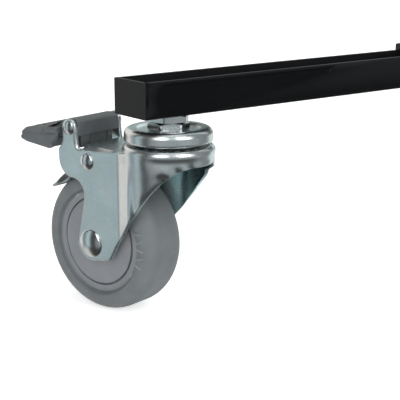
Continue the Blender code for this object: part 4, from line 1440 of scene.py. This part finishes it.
    def add_tread(self, form: Form) -> None:
        """Add the tread's deck, the pad at its back and the four ribs before it.

        Args:
            form: the pedal's form.
        """
        back, half, pad_half = self.tread_back, self.tread_half, self.tread_half - 0.1
        deck = rounded_box((-86.8, -half), (back, half), (1.2, 0.5, 0.5, 1.2), 6)
        form.plate(deck, 2.4, self.on_tread(0.0), edge=0.3, spacing=1.1)
        pad = rounded_box((-69.2, -pad_half), (back, pad_half), (3.4, 0.5, 0.5, 3.4), 8)
        form.plate(pad, 2.0, self.on_tread(1.4), edge=0.6, back_edge=0.2, spacing=1.1, steps=4)
        rib_half, rib_wide, rib_gap = 14.2, 1.3, 2.8
        for i in range(4):
            start = -72.6 - rib_gap * i
            rib = rounded_box((start, -rib_half), (start + rib_wide, rib_half), [0.6] * 4, 4)
            form.plate(rib, 1.2, self.on_tread(0.45), edge=0.45, back_edge=0.2)

    @staticmethod
    def pedal_line(x: float) -> float:
        """The height at which the tread's upright side ends and its crown begins."""
        return 93.1 + 0.078 * (x + 56.0)

    def on_tread(self, rise: float) -> Bend:
        """A bend that lays a plate drawn in plan over the tread's crown.

        Args:
            rise: how far the plate's outer face stands above the crown.

        Returns:
            The bend.
        """
        nose, nose_long, slope = -83.7, 3.2, 0.15
        brow, crown, sunk, edge = 89.0, 5.0, 0.3, 19.3

        def lay(u: float, v: float, depth: float) -> Spot:
            """Carry a point of the plate to the crown.

            Args:
                u: distance along the pedal.
                v: distance across it.
                depth: distance below the plate's face.

            Returns:
                The point.
            """
            past = min(max(nose - u, 0.0) / nose_long, 1.0)
            top = brow + crown * math.sqrt(1 - past ** 2) + slope * max(u - nose, 0.0)
            line = min(self.pedal_line(u), top)
            bend = 14.0 + 3.2 * ease(-u, 74.0, 83.0)
            share = min(max((abs(v) - bend) / (edge - bend), 0.0), 1.0)
            height = line - sunk + (top - line + sunk) * math.sqrt(1 - share ** 2)
            return u, v * (1 + 0.04 * rise), height + rise - depth

        return lay

    def shoe(self) -> Form:
        """The brake plate: a bent strip with two lugs on its rivet and a hooked tail over the tyre.

        Returns:
            The form.
        """
        outside = self.wheel_radius + 1.9 + self.shoe_sheet
        tail = arc(self.axle, outside, 118, 137, 10)
        bent = rounded([(-24.0, 84.6, 0), (-34.0, 85.3, 9), (-46.0, 85.6, 6), (-52.5, 84.6, 4),
                        (-56.4, 81.0, 3), (tail[0][0], tail[0][1], 0)], 5, closed=False)
        line = bent[:-1] + tail + [(-71.0, 63.4)]
        form = Form()
        self.strip(form, line, len(tail) + 3)
        lug = rounded([(-34.4, 84.6, 0.5), (-34.8, 79.4, 1.5), (-37.4, 76.9, 2.0), (-41.8, 76.9, 2.0),
                       (-44.4, 79.4, 1.5), (-44.9, 84.9, 0.5)], 4)
        drilled = [hole(self.shoe_pivot, 3.1)]
        for side in (-1, 1):
            form.plate(lug, self.shoe_sheet, across(self.shoe_half, side), edge=0.25, holes=drilled)
        return form

    def strip(self, form: Form, line: Sequence[Flat], drawn: int) -> None:
        """Add the brake plate's bent strip, whose tail has its sides drawn down like a shallow channel.

        Args:
            form: what it is added to.
            line: the outer face seen from the side, its inside on the left of the way it runs.
            drawn: how many of the line's last points have the drawn sides.
        """
        spots = np.array(line)
        ahead = np.gradient(spots, axis=0)
        ahead /= np.linalg.norm(ahead, axis=1, keepdims=True)
        inward = np.stack([-ahead[:, 1], ahead[:, 0]], 1)
        half, sheet = self.shoe_half, self.shoe_sheet
        points, rows = [], []
        for i, (spot, turn) in enumerate(zip(spots, inward)):
            along = max(0.0, (i - (len(spots) - drawn)) / (drawn - 1))
            swell = math.sin(math.pi * min(along * 1.06, 1.0)) ** 0.8 if along else 0.0
            side = self.shoe_side * swell
            dip, foot = half - side * 0.42, half - side * 0.12
            rim = [(half - 0.4, 0.0), (half, 0.4), (dip, sheet + side * 0.5), (foot, sheet + side - 0.2),
                   (foot - 0.3, sheet + side), (dip - sheet * 0.9, sheet + side * 0.5),
                   (half - sheet * 1.25, sheet)]
            section = [(-y, deep) for y, deep in rim[::-1]] + rim
            rows.append(list(range(len(points), len(points) + len(section))))
            points += [(spot[0] + turn[0] * deep, y, spot[1] + turn[1] * deep) for y, deep in section]
        count = len(rows[0])
        faces = [(rows[end][i], rows[end][i + 1], rows[end][count - 2 - i], rows[end][count - 1 - i])
                 for end in (0, -1) for i in range(count // 2 - 1)]
        for first, second in zip(rows, rows[1:]):
            faces += [(first[i], first[(i + 1) % count], second[(i + 1) % count], second[i])
                      for i in range(count)]
        form.add(points, faces)

    def dress(self, bench: Bench) -> None:
        """Make every piece of the castor and fit it.

        Args:
            bench: where the pieces are put together.
        """
        pieces = (
            ("pressed_fork", "fork", self.fork, FORK_ZINC_PAINTED_SHADE),
            ("threaded_stem", "stem", self.stem, TURNED_ZINC),
            ("bearing_cap", "upper_race", self.upper_race, ZINC_PLATE),
            ("lower_washer", "lower_race", self.lower_race, TURNED_ZINC),
            ("bearing_balls", "ball_ring", self.ball_ring, TURNED_ZINC),
            ("riveted_axle", "axle", self.axle_pin, TURNED_ZINC),
            ("plate_rivet", "brake_rivet", self.brake_rivet, TURNED_ZINC),
            ("pedal_rod", "pedal_pin", self.pedal_pin, TURNED_ZINC),
            ("soft_tyre", "tyre", self.tyre, TYRE_RUBBER),
            ("moulded_core", "wheel_core", self.core, CORE_POLYPROPYLENE),
            ("steel_bush", "hub_bearing", self.bush, TURNED_ZINC),
            ("foot_pedal", "brake_pedal", self.pedal, PEDAL_NYLON),
            ("brake_plate", "brake_shoe", self.shoe, ZINC_PLATE),
        )
        for name, node, draw, finish in pieces:
            bench.fit(f"{name}_{self.number}", f"{node}_{self.number}", draw, finish, self.place, shared=name)


@dataclass
class Arm:
    """One channel arm with the nut that holds its castor and the sliding cup with its thumb screw."""

    number: int
    place: Matrix
    stem_x: float
    cup_x: float
    width: float = 27.0
    height: float = 18.0
    underside: float = 108.0
    sheet: float = 2.0
    fold: float = 0.6
    inner_end: float = -16.0
    overhang: float = 23.0
    panel_depth: float = 0.8
    bolt_spread: float = 11.0
    nut_flats: float = 19.0
    nut_height: float = 9.0
    nut_bore: float = 6.25
    stem_hole: float = 6.2
    bolt_hole: float = 4.3
    cup_gap: float = 0.3
    cup_half: float = 24.0
    cup_sheet: float = 3.5
    cup_floor: float = 3.0
    cup_depth: float = 16.0
    cup_drop: float = 15.0
    cup_bore: float = 22.5
    cup_reach: float = 26.0
    cup_ribs: int = 24
    cup_rib: float = 0.35
    screw_drop: float = 7.5
    screw_long: float = 9.0
    screw_radius: float = 8.0

    @property
    def top(self) -> float:
        """The arm's upper rim."""
        return self.underside + self.height

    def panel(self) -> List[Flat]:
        """The pressed panel's outline.

        Returns:
            Its points, as distance from the outer end and height above the underside.
        """
        upper = arc((13.6, 9.6), 7.0, 90, 180, 10)
        lower = arc((13.6, 7.7), 7.0, 180, 270, 10)
        rise = rounded([(13.6, 0.7, 0), (43.5, 0.9, 30), (121.0, 13.9, 0)], 8, closed=False)
        return upper + lower[1:-1] + rise + [(122.5, 16.6)]

    def channel(self) -> Form:
        """The folded channel with a pressed panel on each side, closed at its outer end.

        Returns:
            The form.
        """
        outer_end = self.stem_x + self.overhang
        half = self.width / 2
        side = self.height - self.fold
        path = BentPath((-half, self.top), -90, [
            (side, 90, self.fold), (self.width - 2 * self.fold, 90, self.fold), (side, 0, 0)])

        def section_at(u: float, v: float, depth: float) -> Spot:
            """Carry a point of the flat blank round the folds, whose inner corners are sharp."""
            y, z, _ = path.at(v, depth)
            return u, min(max(y, depth - half), half - depth), max(z, self.underside + depth)

        def blank(up: float) -> float:
            """The distance round the blank from its first rim to a height above the underside."""
            return self.height - up if up >= self.fold else side + self.fold * math.asin(1 - up / self.fold)

        wall_end = path.length
        sharp = [0.0] * 4
        outline = dense(rounded_box((self.inner_end, 0.0), (outer_end - 0.05, wall_end), sharp, 1), 6.0)
        creases = []
        loop = dense(self.panel(), 4.0)
        if signed_area(loop) < 0:
            loop.reverse()
        lip = 0.12
        for step, fall in ((0.0, 0.0), (0.25, lip), (0.75, self.panel_depth - lip), (1.0, self.panel_depth)):
            near = [(outer_end - along, blank(up)) for along, up in inset(loop, [step] * len(loop))]
            creases.append((near, fall))
            creases.append(([(u, wall_end - v) for u, v in near], fall))
        turn = self.fold * math.pi / 2
        ends = (self.inner_end + 0.4, outer_end - 0.45)
        folds = [rounded_box((ends[0], start + turn * share), (ends[1], start + turn * (1 - share)), sharp, 1)
                 for start in (side, wall_end - side - turn) for share in (0.0, 0.25)]
        middle = wall_end / 2
        spots = (-self.bolt_spread, self.bolt_spread) if self.number == 1 else (0.0,)
        holes = [hole((self.stem_x, middle), self.stem_hole)]
        holes += [hole((x, middle), self.bolt_hole) for x in spots]
        form = Form()
        form.plate(outline, self.sheet, section_at, edge=0.3, holes=holes, creases=creases, folds=folds)
        end = rounded_box((-half, self.underside), (half, self.top), [0.3] * 4, 3)
        form.plate(end, self.sheet, lambda u, v, depth: (outer_end - depth, u, v), edge=0.25)
        return form

    def nut(self) -> Form:
        """The nut that holds the castor's stem, chamfered on both faces."""
        low = self.underside + self.sheet + 0.3
        return Form().spin(hexagon(low, low + self.nut_height, self.nut_flats, bore=self.nut_bore), steps=72)

    def cup(self) -> Form:
        """The sliding cup: a saddle over the arm, and a round cup with a ribbed skirt for the tripod's foot.

        Returns:
            The form.
        """
        outer = self.width / 2 + self.cup_gap + self.cup_sheet
        floor = self.top + self.cup_gap + self.cup_floor
        rim = floor + self.cup_depth
        form = Form()
        cheek = rounded_box((-self.cup_half, self.top - self.cup_drop), (self.cup_half, floor),
                            (4.0, 4.0, 1.0, 1.0), 8)
        for side in (-1, 1):
            drilled = [hole((0, self.top - self.screw_drop), 3.3)] if side > 0 else []
            form.plate(cheek, self.cup_sheet, across(outer, side), edge=0.8, holes=drilled)
        bridge = rounded_box((-self.cup_half, -outer), (self.cup_half, outer), [1.2] * 4, 5)
        form.plate(bridge, self.cup_floor, upright(floor), edge=0.8)
        bore, reach = self.cup_bore, self.cup_reach

        def wall(angle: float) -> List[Flat]:
            """The cup's section, with shallow ribs outside."""
            outside = reach - 0.7 + self.cup_rib * max(0.0, math.cos(self.cup_ribs * angle)) ** 2
            return ([(0, floor + 0.3), (bore - 2.6, floor + 0.3)]
                    + arc((bore - 2.2, floor + 1.9), 1.6, 270, 360, 5) + [(bore + 0.9, rim - 0.8)]
                    + arc((24.4, rim - 1.0), 1.0, 180, 90, 4)[1:]
                    + arc((reach - 1.2, rim - 1.2), 1.2, 90, 0, 5)
                    + [(reach, rim - 2.6), (outside, rim - 3.2), (outside - 0.5, floor + 1.2),
                       (reach - 0.6, floor + 0.4), (reach - 1.0, floor - 1.6), (reach - 1.6, floor - 2.0),
                       (0, floor - 2.0)])

        return form.spin(wall, steps=192)

    def thumb_screw(self) -> Form:
        """The thumb screw that clamps the cup, with a scalloped head.

        Returns:
            The form.
        """
        tip = self.width / 2 + self.cup_gap
        start = tip + self.cup_sheet + 0.3
        end = start + self.screw_long
        place = Matrix.Translation((0, 0, self.top - self.screw_drop)) @ LYING_ALONG_Y
        shank = [(0, start + 1), (3.0, start + 1), (3.0, tip + 0.4), (2.6, tip), (0, tip)]

        def head(angle: float) -> List[Flat]:
            """The head's section, scalloped."""
            reach = self.screw_radius * (0.92 + 0.08 * math.cos(6 * angle))
            return [(0, end - 0.4), (4.4, end - 0.4), (5.0, end), (reach - 1.2, end),
                    (reach - 0.4, end - 0.35), (reach, end - 1.2), (reach, start + 1.4),
                    (reach - 0.5, start + 0.6), (6.2, start + 0.2), (5.6, start), (0, start)]

        return Form().spin(steady(shank), steps=32, place=place).spin(head, steps=96, place=place)

    def dress(self, bench: Bench) -> None:
        """Make the arm's pieces and fit them.

        Args:
            bench: where the pieces are put together.
        """
        kind = "fixed_arm" if self.number == 1 else "folding_arm"
        at_stem = self.place @ Matrix.Translation((self.stem_x * MM, 0, 0))
        at_cup = self.place @ Matrix.Translation((self.cup_x * MM, 0, 0))
        pieces = (
            ("channel_arm", "arm", self.channel, BLACK_POWDER_COAT, self.place, kind),
            ("castor_nut", "stem_nut", self.nut, TURNED_ZINC, at_stem, "castor_nut"),
            ("sliding_cup", "foot_cup", self.cup, BLACK_NYLON, at_cup, "sliding_cup"),
            ("thumb_screw", "foot_screw", self.thumb_screw, BLACK_NYLON, at_cup, "thumb_screw"),
        )
        for name, node, draw, finish, place, shared in pieces:
            bench.fit(f"{name}_{self.number}", f"{node}_{self.number}", draw, finish, place, shared)


def hexagon(low: float, high: float, flats: float, *, turn: float = 0.0, bore: float = 0.0,
            broken: float = 0.3, under: bool = True) -> Column:
    """A hexagon's or a nut's section, its corners turned off and its bore countersunk.

    Args:
        low: its lower face.
        high: its upper face.
        flats: distance across its flats.
        turn: angle that one of its sides faces, in radians.
        bore: radius of its hole, or 0 for one that is filled.
        broken: how far inside its flats its end faces stop.
        under: whether its lower corners are turned off too.

    Returns:
        The section at each angle.
    """
    flat, sink = flats / 2 - broken, 0.7

    def column(angle: float) -> List[Flat]:
        """The section at one angle.

        Args:
            angle: the angle, in radians.

        Returns:
            The section.
        """
        reach = hexagon_reach(flats, turn, angle)
        drop = (reach - flat) * CHAMFER
        outside = [(flat, high), (reach, high - drop)]
        outside += [(reach, low + drop), (flat, low)] if under else [(reach, low)]
        if bore:
            return ([(bore, high - sink), (bore + sink, high)] + outside
                    + [(bore + sink, low), (bore, low + sink)])
        return [(0, high)] + outside + [(0, low)]

    return column


@dataclass
class Hub:
    """The folding hub: two lobed plates, the spacer and middle knob, and the bolts through the arms."""

    place: Matrix
    bolts: Dict[str, Flat]
    bolt_circle: float = 50.0
    lobe_radius: float = 24.0
    plate: float = 3.0
    arm_top: float = 126.0
    arm_underside: float = 108.0
    gap: float = 0.3
    headings: Tuple[float, float, float] = (-90.0, 30.0, 150.0)
    bolt_radius: float = 4.0
    bolt_flats: float = 13.0
    bolt_head_slope: float = 0.577
    knob_bolt: float = 5.0
    knob_radius: float = 21.0
    knob_lobes: int = 7

    @property
    def outer_faces(self) -> Tuple[float, float]:
        """Where a bolt's head and a nut stand: above the top plate and below the bottom one."""
        clear = self.plate + 2 * self.gap
        return self.arm_top + clear, self.arm_underside - clear

    def outline(self) -> List[Flat]:
        """The plates' outline: three round lobes joined by straight sides.

        Returns:
            The outline's points.
        """
        points: List[Flat] = []
        for heading in self.headings:
            turn = math.radians(heading)
            centre = (self.bolt_circle * math.cos(turn), self.bolt_circle * math.sin(turn))
            points += arc(centre, self.lobe_radius, heading - 60, heading + 60, 22)
        return points

    def hub_plate(self, top: float) -> Form:
        """One lobed plate, drilled for the bolts and the middle knob, with its edge broken.

        Args:
            top: height of its upper face.

        Returns:
            The form.
        """
        holes = [hole(spot, self.bolt_radius + self.gap) for spot in self.bolts.values()]
        holes.append(hole((0, 0), self.knob_bolt + self.gap))
        form = Form()
        form.plate(self.outline(), self.plate, upright(top), edge=0.5, holes=holes)
        return form

    def spacer(self) -> Form:
        """The tube between the plates."""
        outline = rounded_box((self.knob_bolt + self.gap, self.arm_top), (11.0, self.arm_underside),
                              (0.3, 0.5, 0.5, 0.3), 3)
        return Form().spin(steady(outline), steps=72)

    def bolt(self) -> Form:
        """A hub bolt: flanged hexagon head above, shank, and a lock nut below.

        Returns:
            The form.
        """
        high, low = self.outer_faces
        flat, top = self.bolt_flats / 2 - 0.25, high + 5.3
        shank = [(0, high + 2), (3.95, high + 2), (3.95, low - 6.8), (3.2, low - 7.4), (0, low - 7.4)]
        lock = [(0, low - 5.0), (5.7, low - 5.0), (5.7, low - 5.9), (5.2, low - 6.5), (0, low - 6.5)]

        def head(angle: float) -> List[Flat]:
            """The head's section, on its washer face."""
            reach = hexagon_reach(self.bolt_flats, 0.0, angle)
            return [(0, top - 0.3), (3.6, top - 0.3), (4.2, top), (flat, top),
                    (reach, top - (reach - flat) * self.bolt_head_slope), (reach, high + 0.5),
                    (flat - 0.1, high + 0.4), (flat - 0.1, high), (0, high)]

        form = Form().spin(steady(shank), steps=40).spin(head, steps=72)
        form.spin(hexagon(low - 5.4, low, self.bolt_flats), steps=72)
        return form.spin(steady(lock), steps=48)

    def knob(self) -> Form:
        """The middle hand knob: seven lobes with hollows between them, a dished top, its bolt and its nut.

        Returns:
            The form.
        """
        high, low = self.outer_faces
        bottom, top = high + 3.0, high + 18.0
        collar = [(0, bottom + 1.5), (8.4, bottom + 1.5), (9.0, bottom + 0.4), (9.0, high + 0.5), (8.5, high),
                  (0, high)]
        shank = [(0, high + 1), (self.knob_bolt, high + 1), (self.knob_bolt, low - 8.0), (4.2, low - 8.8),
                 (0, low - 8.8)]

        def grip(angle: float) -> List[Flat]:
            """The grip's section, with lobes and hollows."""
            reach = self.knob_radius * (0.92 + 0.08 * math.cos(self.knob_lobes * angle))
            return ([(0, top - 1.2), (7.5, top - 1.2), (8.3, top - 0.4), (10.0, top)]
                    + arc((reach - 2.2, top - 2.2), 2.2, 90, 0, 6) + [(reach, bottom + 3.0)]
                    + arc((reach - 1.5, bottom + 1.5), 1.5, 0, -90, 4)
                    + [(12.0, bottom), (11.0, bottom + 0.8), (0, bottom + 0.8)])

        form = Form().spin(grip, steps=196).spin(steady(collar), steps=64).spin(steady(shank), steps=48)
        return form.spin(hexagon(low - 8.0, low, 17.0), steps=72)

    def dress(self, bench: Bench) -> None:
        """Make the hub's pieces and fit them.

        Args:
            bench: where the pieces are put together.
        """
        top, bottom = self.arm_top + self.gap + self.plate, self.arm_underside - self.gap
        pieces = (
            ("top_hub_plate", "hub_top_plate", lambda: self.hub_plate(top), BLACK_POWDER_COAT),
            ("bottom_hub_plate", "hub_bottom_plate", lambda: self.hub_plate(bottom), BLACK_POWDER_COAT),
            ("spacer_tube", "hub_spacer", self.spacer, TURNED_ZINC),
            ("star_knob", "hub_knob", self.knob, BLACK_NYLON),
        )
        for name, node, draw, finish in pieces:
            bench.fit(name, node, draw, finish, self.place)
        for name, (x, y) in self.bolts.items():
            at = self.place @ Matrix.Translation((x * MM, y * MM, 0))
            bench.fit(f"{name}_steel", name, self.bolt, TURNED_ZINC, at, "hub_bolt")


@dataclass(frozen=True)
class SoftBox:
    """A soft light far away: its bearing from the castor and its height, in degrees."""

    left: float
    right: float
    low: float
    high: float
    strength: float
    colour: str
    blur: float = 6.0


@dataclass
class Studio:
    """The pale floor, the soft light all round and the camera."""

    eye: Spot = (0.4159, -0.6645, 0.19895)
    castor: Flat = (-0.02376, -0.34672)
    heading: float = 52.48
    pitch: float = 14.06
    lens: float = 99.27
    sensor: float = 36.0
    view_depth: float = 200.0
    floor_reach: float = 60.0
    floor_colour: str = "#F4F4F4"
    floor_shade: str = "#F0F0F0"
    floor_roughness: float = 0.9
    floor_glow: float = 0.55
    dim: float = 0.06
    boxes: Tuple[SoftBox, ...] = (
        SoftBox(-34, -7, 10, 54, 3.6, "#FFFFFF", 7.0),
        SoftBox(26, 58, 10, 54, 3.8, "#FFFFFF", 7.0),
        SoftBox(-40, 64, 4, 54, 0.35, "#FFFFFF", 8.0),
        SoftBox(-52, 84, -23, 6, 0.3, "#F2FBFF"),
        SoftBox(-70, 70, -96, -77, 0.9, "#FFFFFF", 5.0),
        SoftBox(-92, -74, -22, 36, 0.74, "#DFF3F6", 5.0),
        SoftBox(-114, -90, -60, 12, 0.3, "#CDE0F2", 5.0),
        SoftBox(-166, -112, -22, 40, 1.0, "#FFF8F2"),
        SoftBox(-184, -84, -70, -24, 0.6, "#FFF4EA"),
        SoftBox(-200, 200, 66, 100, 0.9, "#FFFFFF"),
        SoftBox(78, 118, -60, 60, 0.2, "#F6FFFF", 8.0),
        SoftBox(122, 165, -60, 60, 0.95, "#F6FFFF", 8.0),
        SoftBox(160, 200, 2, 60, 0.5, "#D8ECE8"),
        SoftBox(-200, -166, 2, 60, 0.5, "#D8ECE8"),
    )

    def build_camera(self) -> None:
        """Stand the camera where the photograph was taken from."""
        data = bpy.data.cameras.new("camera")
        data.lens = self.lens
        data.sensor_width = self.sensor
        data.clip_end = self.view_depth
        camera = bpy.data.objects.new("camera", data)
        bpy.context.scene.collection.objects.link(camera)
        yaw, pitch = math.radians(self.heading), math.radians(self.pitch)
        back = Vector((math.sin(yaw) * math.cos(pitch), -math.cos(yaw) * math.cos(pitch), math.sin(pitch)))
        right = Vector((math.cos(yaw), math.sin(yaw), 0))
        up = back.cross(right)
        turn = Matrix((right, up, back)).transposed().to_4x4()
        camera.matrix_world = Matrix.Translation(self.eye) @ turn
        bpy.context.scene.camera = camera

    def build_floor(self) -> None:
        """Lay the pale floor."""
        mesh = bpy.data.meshes.new("floor")
        reach = self.floor_reach
        mesh.from_pydata([(-reach, -reach, 0), (reach, -reach, 0), (reach, reach, 0), (-reach, reach, 0)], [],
                         [(0, 1, 2, 3)])
        floor = bpy.data.objects.new("floor", mesh)
        bpy.context.scene.collection.objects.link(floor)
        paint = bpy.data.materials.new("pale_floor")
        paint.use_nodes = True
        tree = paint.node_tree
        shader = tree.nodes["Principled BSDF"]
        shader.inputs["Roughness"].default_value = self.floor_roughness
        shader.inputs["Emission Strength"].default_value = self.floor_glow
        shader.inputs["Emission Color"].default_value = linear("#FFFFFF")
        where = add_node(tree, "TexCoord").outputs["Object"]
        mottle = add_node(tree, "TexNoise", {"Scale": 2.0, "Detail": 3.0}, {"Vector": where})
        tone = add_node(tree, "ValToRGB", {}, {"Fac": mottle.outputs["Fac"]},
                        stops=((0.0, self.floor_shade), (1.0, self.floor_colour)))
        tree.links.new(tone.outputs["Color"], shader.inputs["Base Color"])
        mesh.materials.append(paint)
        floor.visible_glossy = False

    def build_world(self) -> None:
        """Surround everything with soft boxes, dark between them, and a white backdrop."""
        world = bpy.data.worlds.new("studio")
        world.use_nodes = True
        bpy.context.scene.world = world
        tree = world.node_tree
        ground = tree.nodes["Background"]
        where = add_node(tree, "TexCoord").outputs["Generated"]
        parts = add_node(tree, "SeparateXYZ", {}, {"Vector": where})
        turned = add_node(tree, "Math", {}, {0: parts.outputs["X"], 1: parts.outputs["Y"]},
                          operation="ARCTAN2")
        bearing = add_node(tree, "Math", {1: 180 / math.pi}, {0: turned.outputs["Value"]},
                           operation="MULTIPLY")
        height = add_node(tree, "Math", {}, {0: parts.outputs["Z"]}, operation="ARCSINE")
        rise = add_node(tree, "Math", {1: 180 / math.pi}, {0: height.outputs["Value"]}, operation="MULTIPLY")
        toward = math.degrees(math.atan2(self.eye[0] - self.castor[0], self.eye[1] - self.castor[1]))
        off = add_node(tree, "Math", {1: toward}, {0: bearing.outputs["Value"]}, operation="SUBTRACT")
        side = add_node(tree, "Math", {1: 180.0, 2: -180.0}, {0: off.outputs["Value"]}, operation="WRAP")
        total = None
        for box in self.boxes:
            light = None
            for source, low, high in ((side.outputs["Value"], -box.right, -box.left),
                                      (rise.outputs["Value"], box.low, box.high)):
                enter = add_node(tree, "MapRange", {"From Min": low - box.blur, "From Max": low + box.blur},
                                 {"Value": source}, interpolation_type="SMOOTHSTEP")
                leave = add_node(tree, "MapRange", {"From Min": high - box.blur, "From Max": high + box.blur,
                                                    "To Min": 1.0, "To Max": 0.0},
                                 {"Value": source}, interpolation_type="SMOOTHSTEP")
                both = add_node(tree, "Math", {}, {0: enter.outputs["Result"], 1: leave.outputs["Result"]},
                                operation="MULTIPLY")
                light = both if light is None else add_node(
                    tree, "Math", {}, {0: light.outputs["Value"], 1: both.outputs["Value"]},
                    operation="MULTIPLY")
            level = add_node(tree, "VectorMath",
                             {0: [box.strength * part for part in linear(box.colour)[:3]]},
                             {"Scale": light.outputs["Value"]}, operation="SCALE")
            total = level if total is None else add_node(
                tree, "VectorMath", {}, {0: total.outputs["Vector"], 1: level.outputs["Vector"]},
                operation="ADD")
        lit = add_node(tree, "VectorMath", {1: (self.dim, self.dim, self.dim)},
                       {0: total.outputs["Vector"]}, operation="ADD")
        tree.links.new(lit.outputs["Vector"], ground.inputs["Color"])
        seen = add_node(tree, "LightPath").outputs["Is Camera Ray"]
        backdrop = add_node(tree, "Background", {"Color": linear("#FFFFFF"), "Strength": 1.0})
        mix = add_node(tree, "MixShader", {}, {0: seen, 1: ground.outputs["Background"],
                                               2: backdrop.outputs["Background"]})
        tree.links.new(mix.outputs["Shader"], tree.nodes["World Output"].inputs["Surface"])

    def build(self) -> None:
        """Set up camera, floor, light and how bright the picture is."""
        self.build_camera()
        self.build_floor()
        self.build_world()
        bpy.context.scene.view_settings.view_transform = "Standard"


def castors_and_arms() -> Tuple[List[Castor], List[Arm], Hub]:
    """Work out where the sub-assemblies stand from the frame's joints.

    Returns:
        The castors, the arms and the hub.
    """
    middle = Vector(joint("turn_middle_knob")["pos_m"])
    castors, arms = [], []
    for number in (1, 2, 3):
        swivel = Vector(joint(f"swivel_{number}")["pos_m"])
        wheel = Vector(joint(f"roll_wheel_{number}")["pos_m"])
        ahead = Vector((swivel.x - wheel.x, swivel.y - wheel.y, 0))
        castors.append(Castor(number, frame_at(swivel, ahead)))
        outwards = Vector((swivel.x - middle.x, swivel.y - middle.y, 0))
        reach = outwards.length / MM
        start = middle + outwards.normalized() * Hub.bolt_circle * MM
        cup = Vector(joint(f"turn_thumb_screw_{number}")["pos_m"]) - start
        along_arm = cup.dot(outwards.normalized()) / MM
        arms.append(Arm(number, frame_at(start, outwards), reach - Hub.bolt_circle, along_arm))
    bolts = {}
    for name in ("hub_bolt_1", "hub_bolt_2", "pivot_bolt_2", "pivot_bolt_3"):
        low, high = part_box(name)
        spot = ((low + high) / 2 - middle) / MM
        bolts[name] = (spot.x, spot.y)
    return castors, arms, Hub(Matrix.Translation((middle.x, middle.y, 0)), bolts)


def main() -> None:
    """Dress the whole dolly and light it."""
    logging.basicConfig(level=logging.INFO, format="%(message)s")
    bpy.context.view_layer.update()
    castors, arms, hub = castors_and_arms()
    bench = Bench()
    for castor in castors:
        castor.dress(bench)
    for arm in arms:
        arm.dress(bench)
    hub.dress(bench)
    Studio().build()


if __name__ == "__main__":
    main()
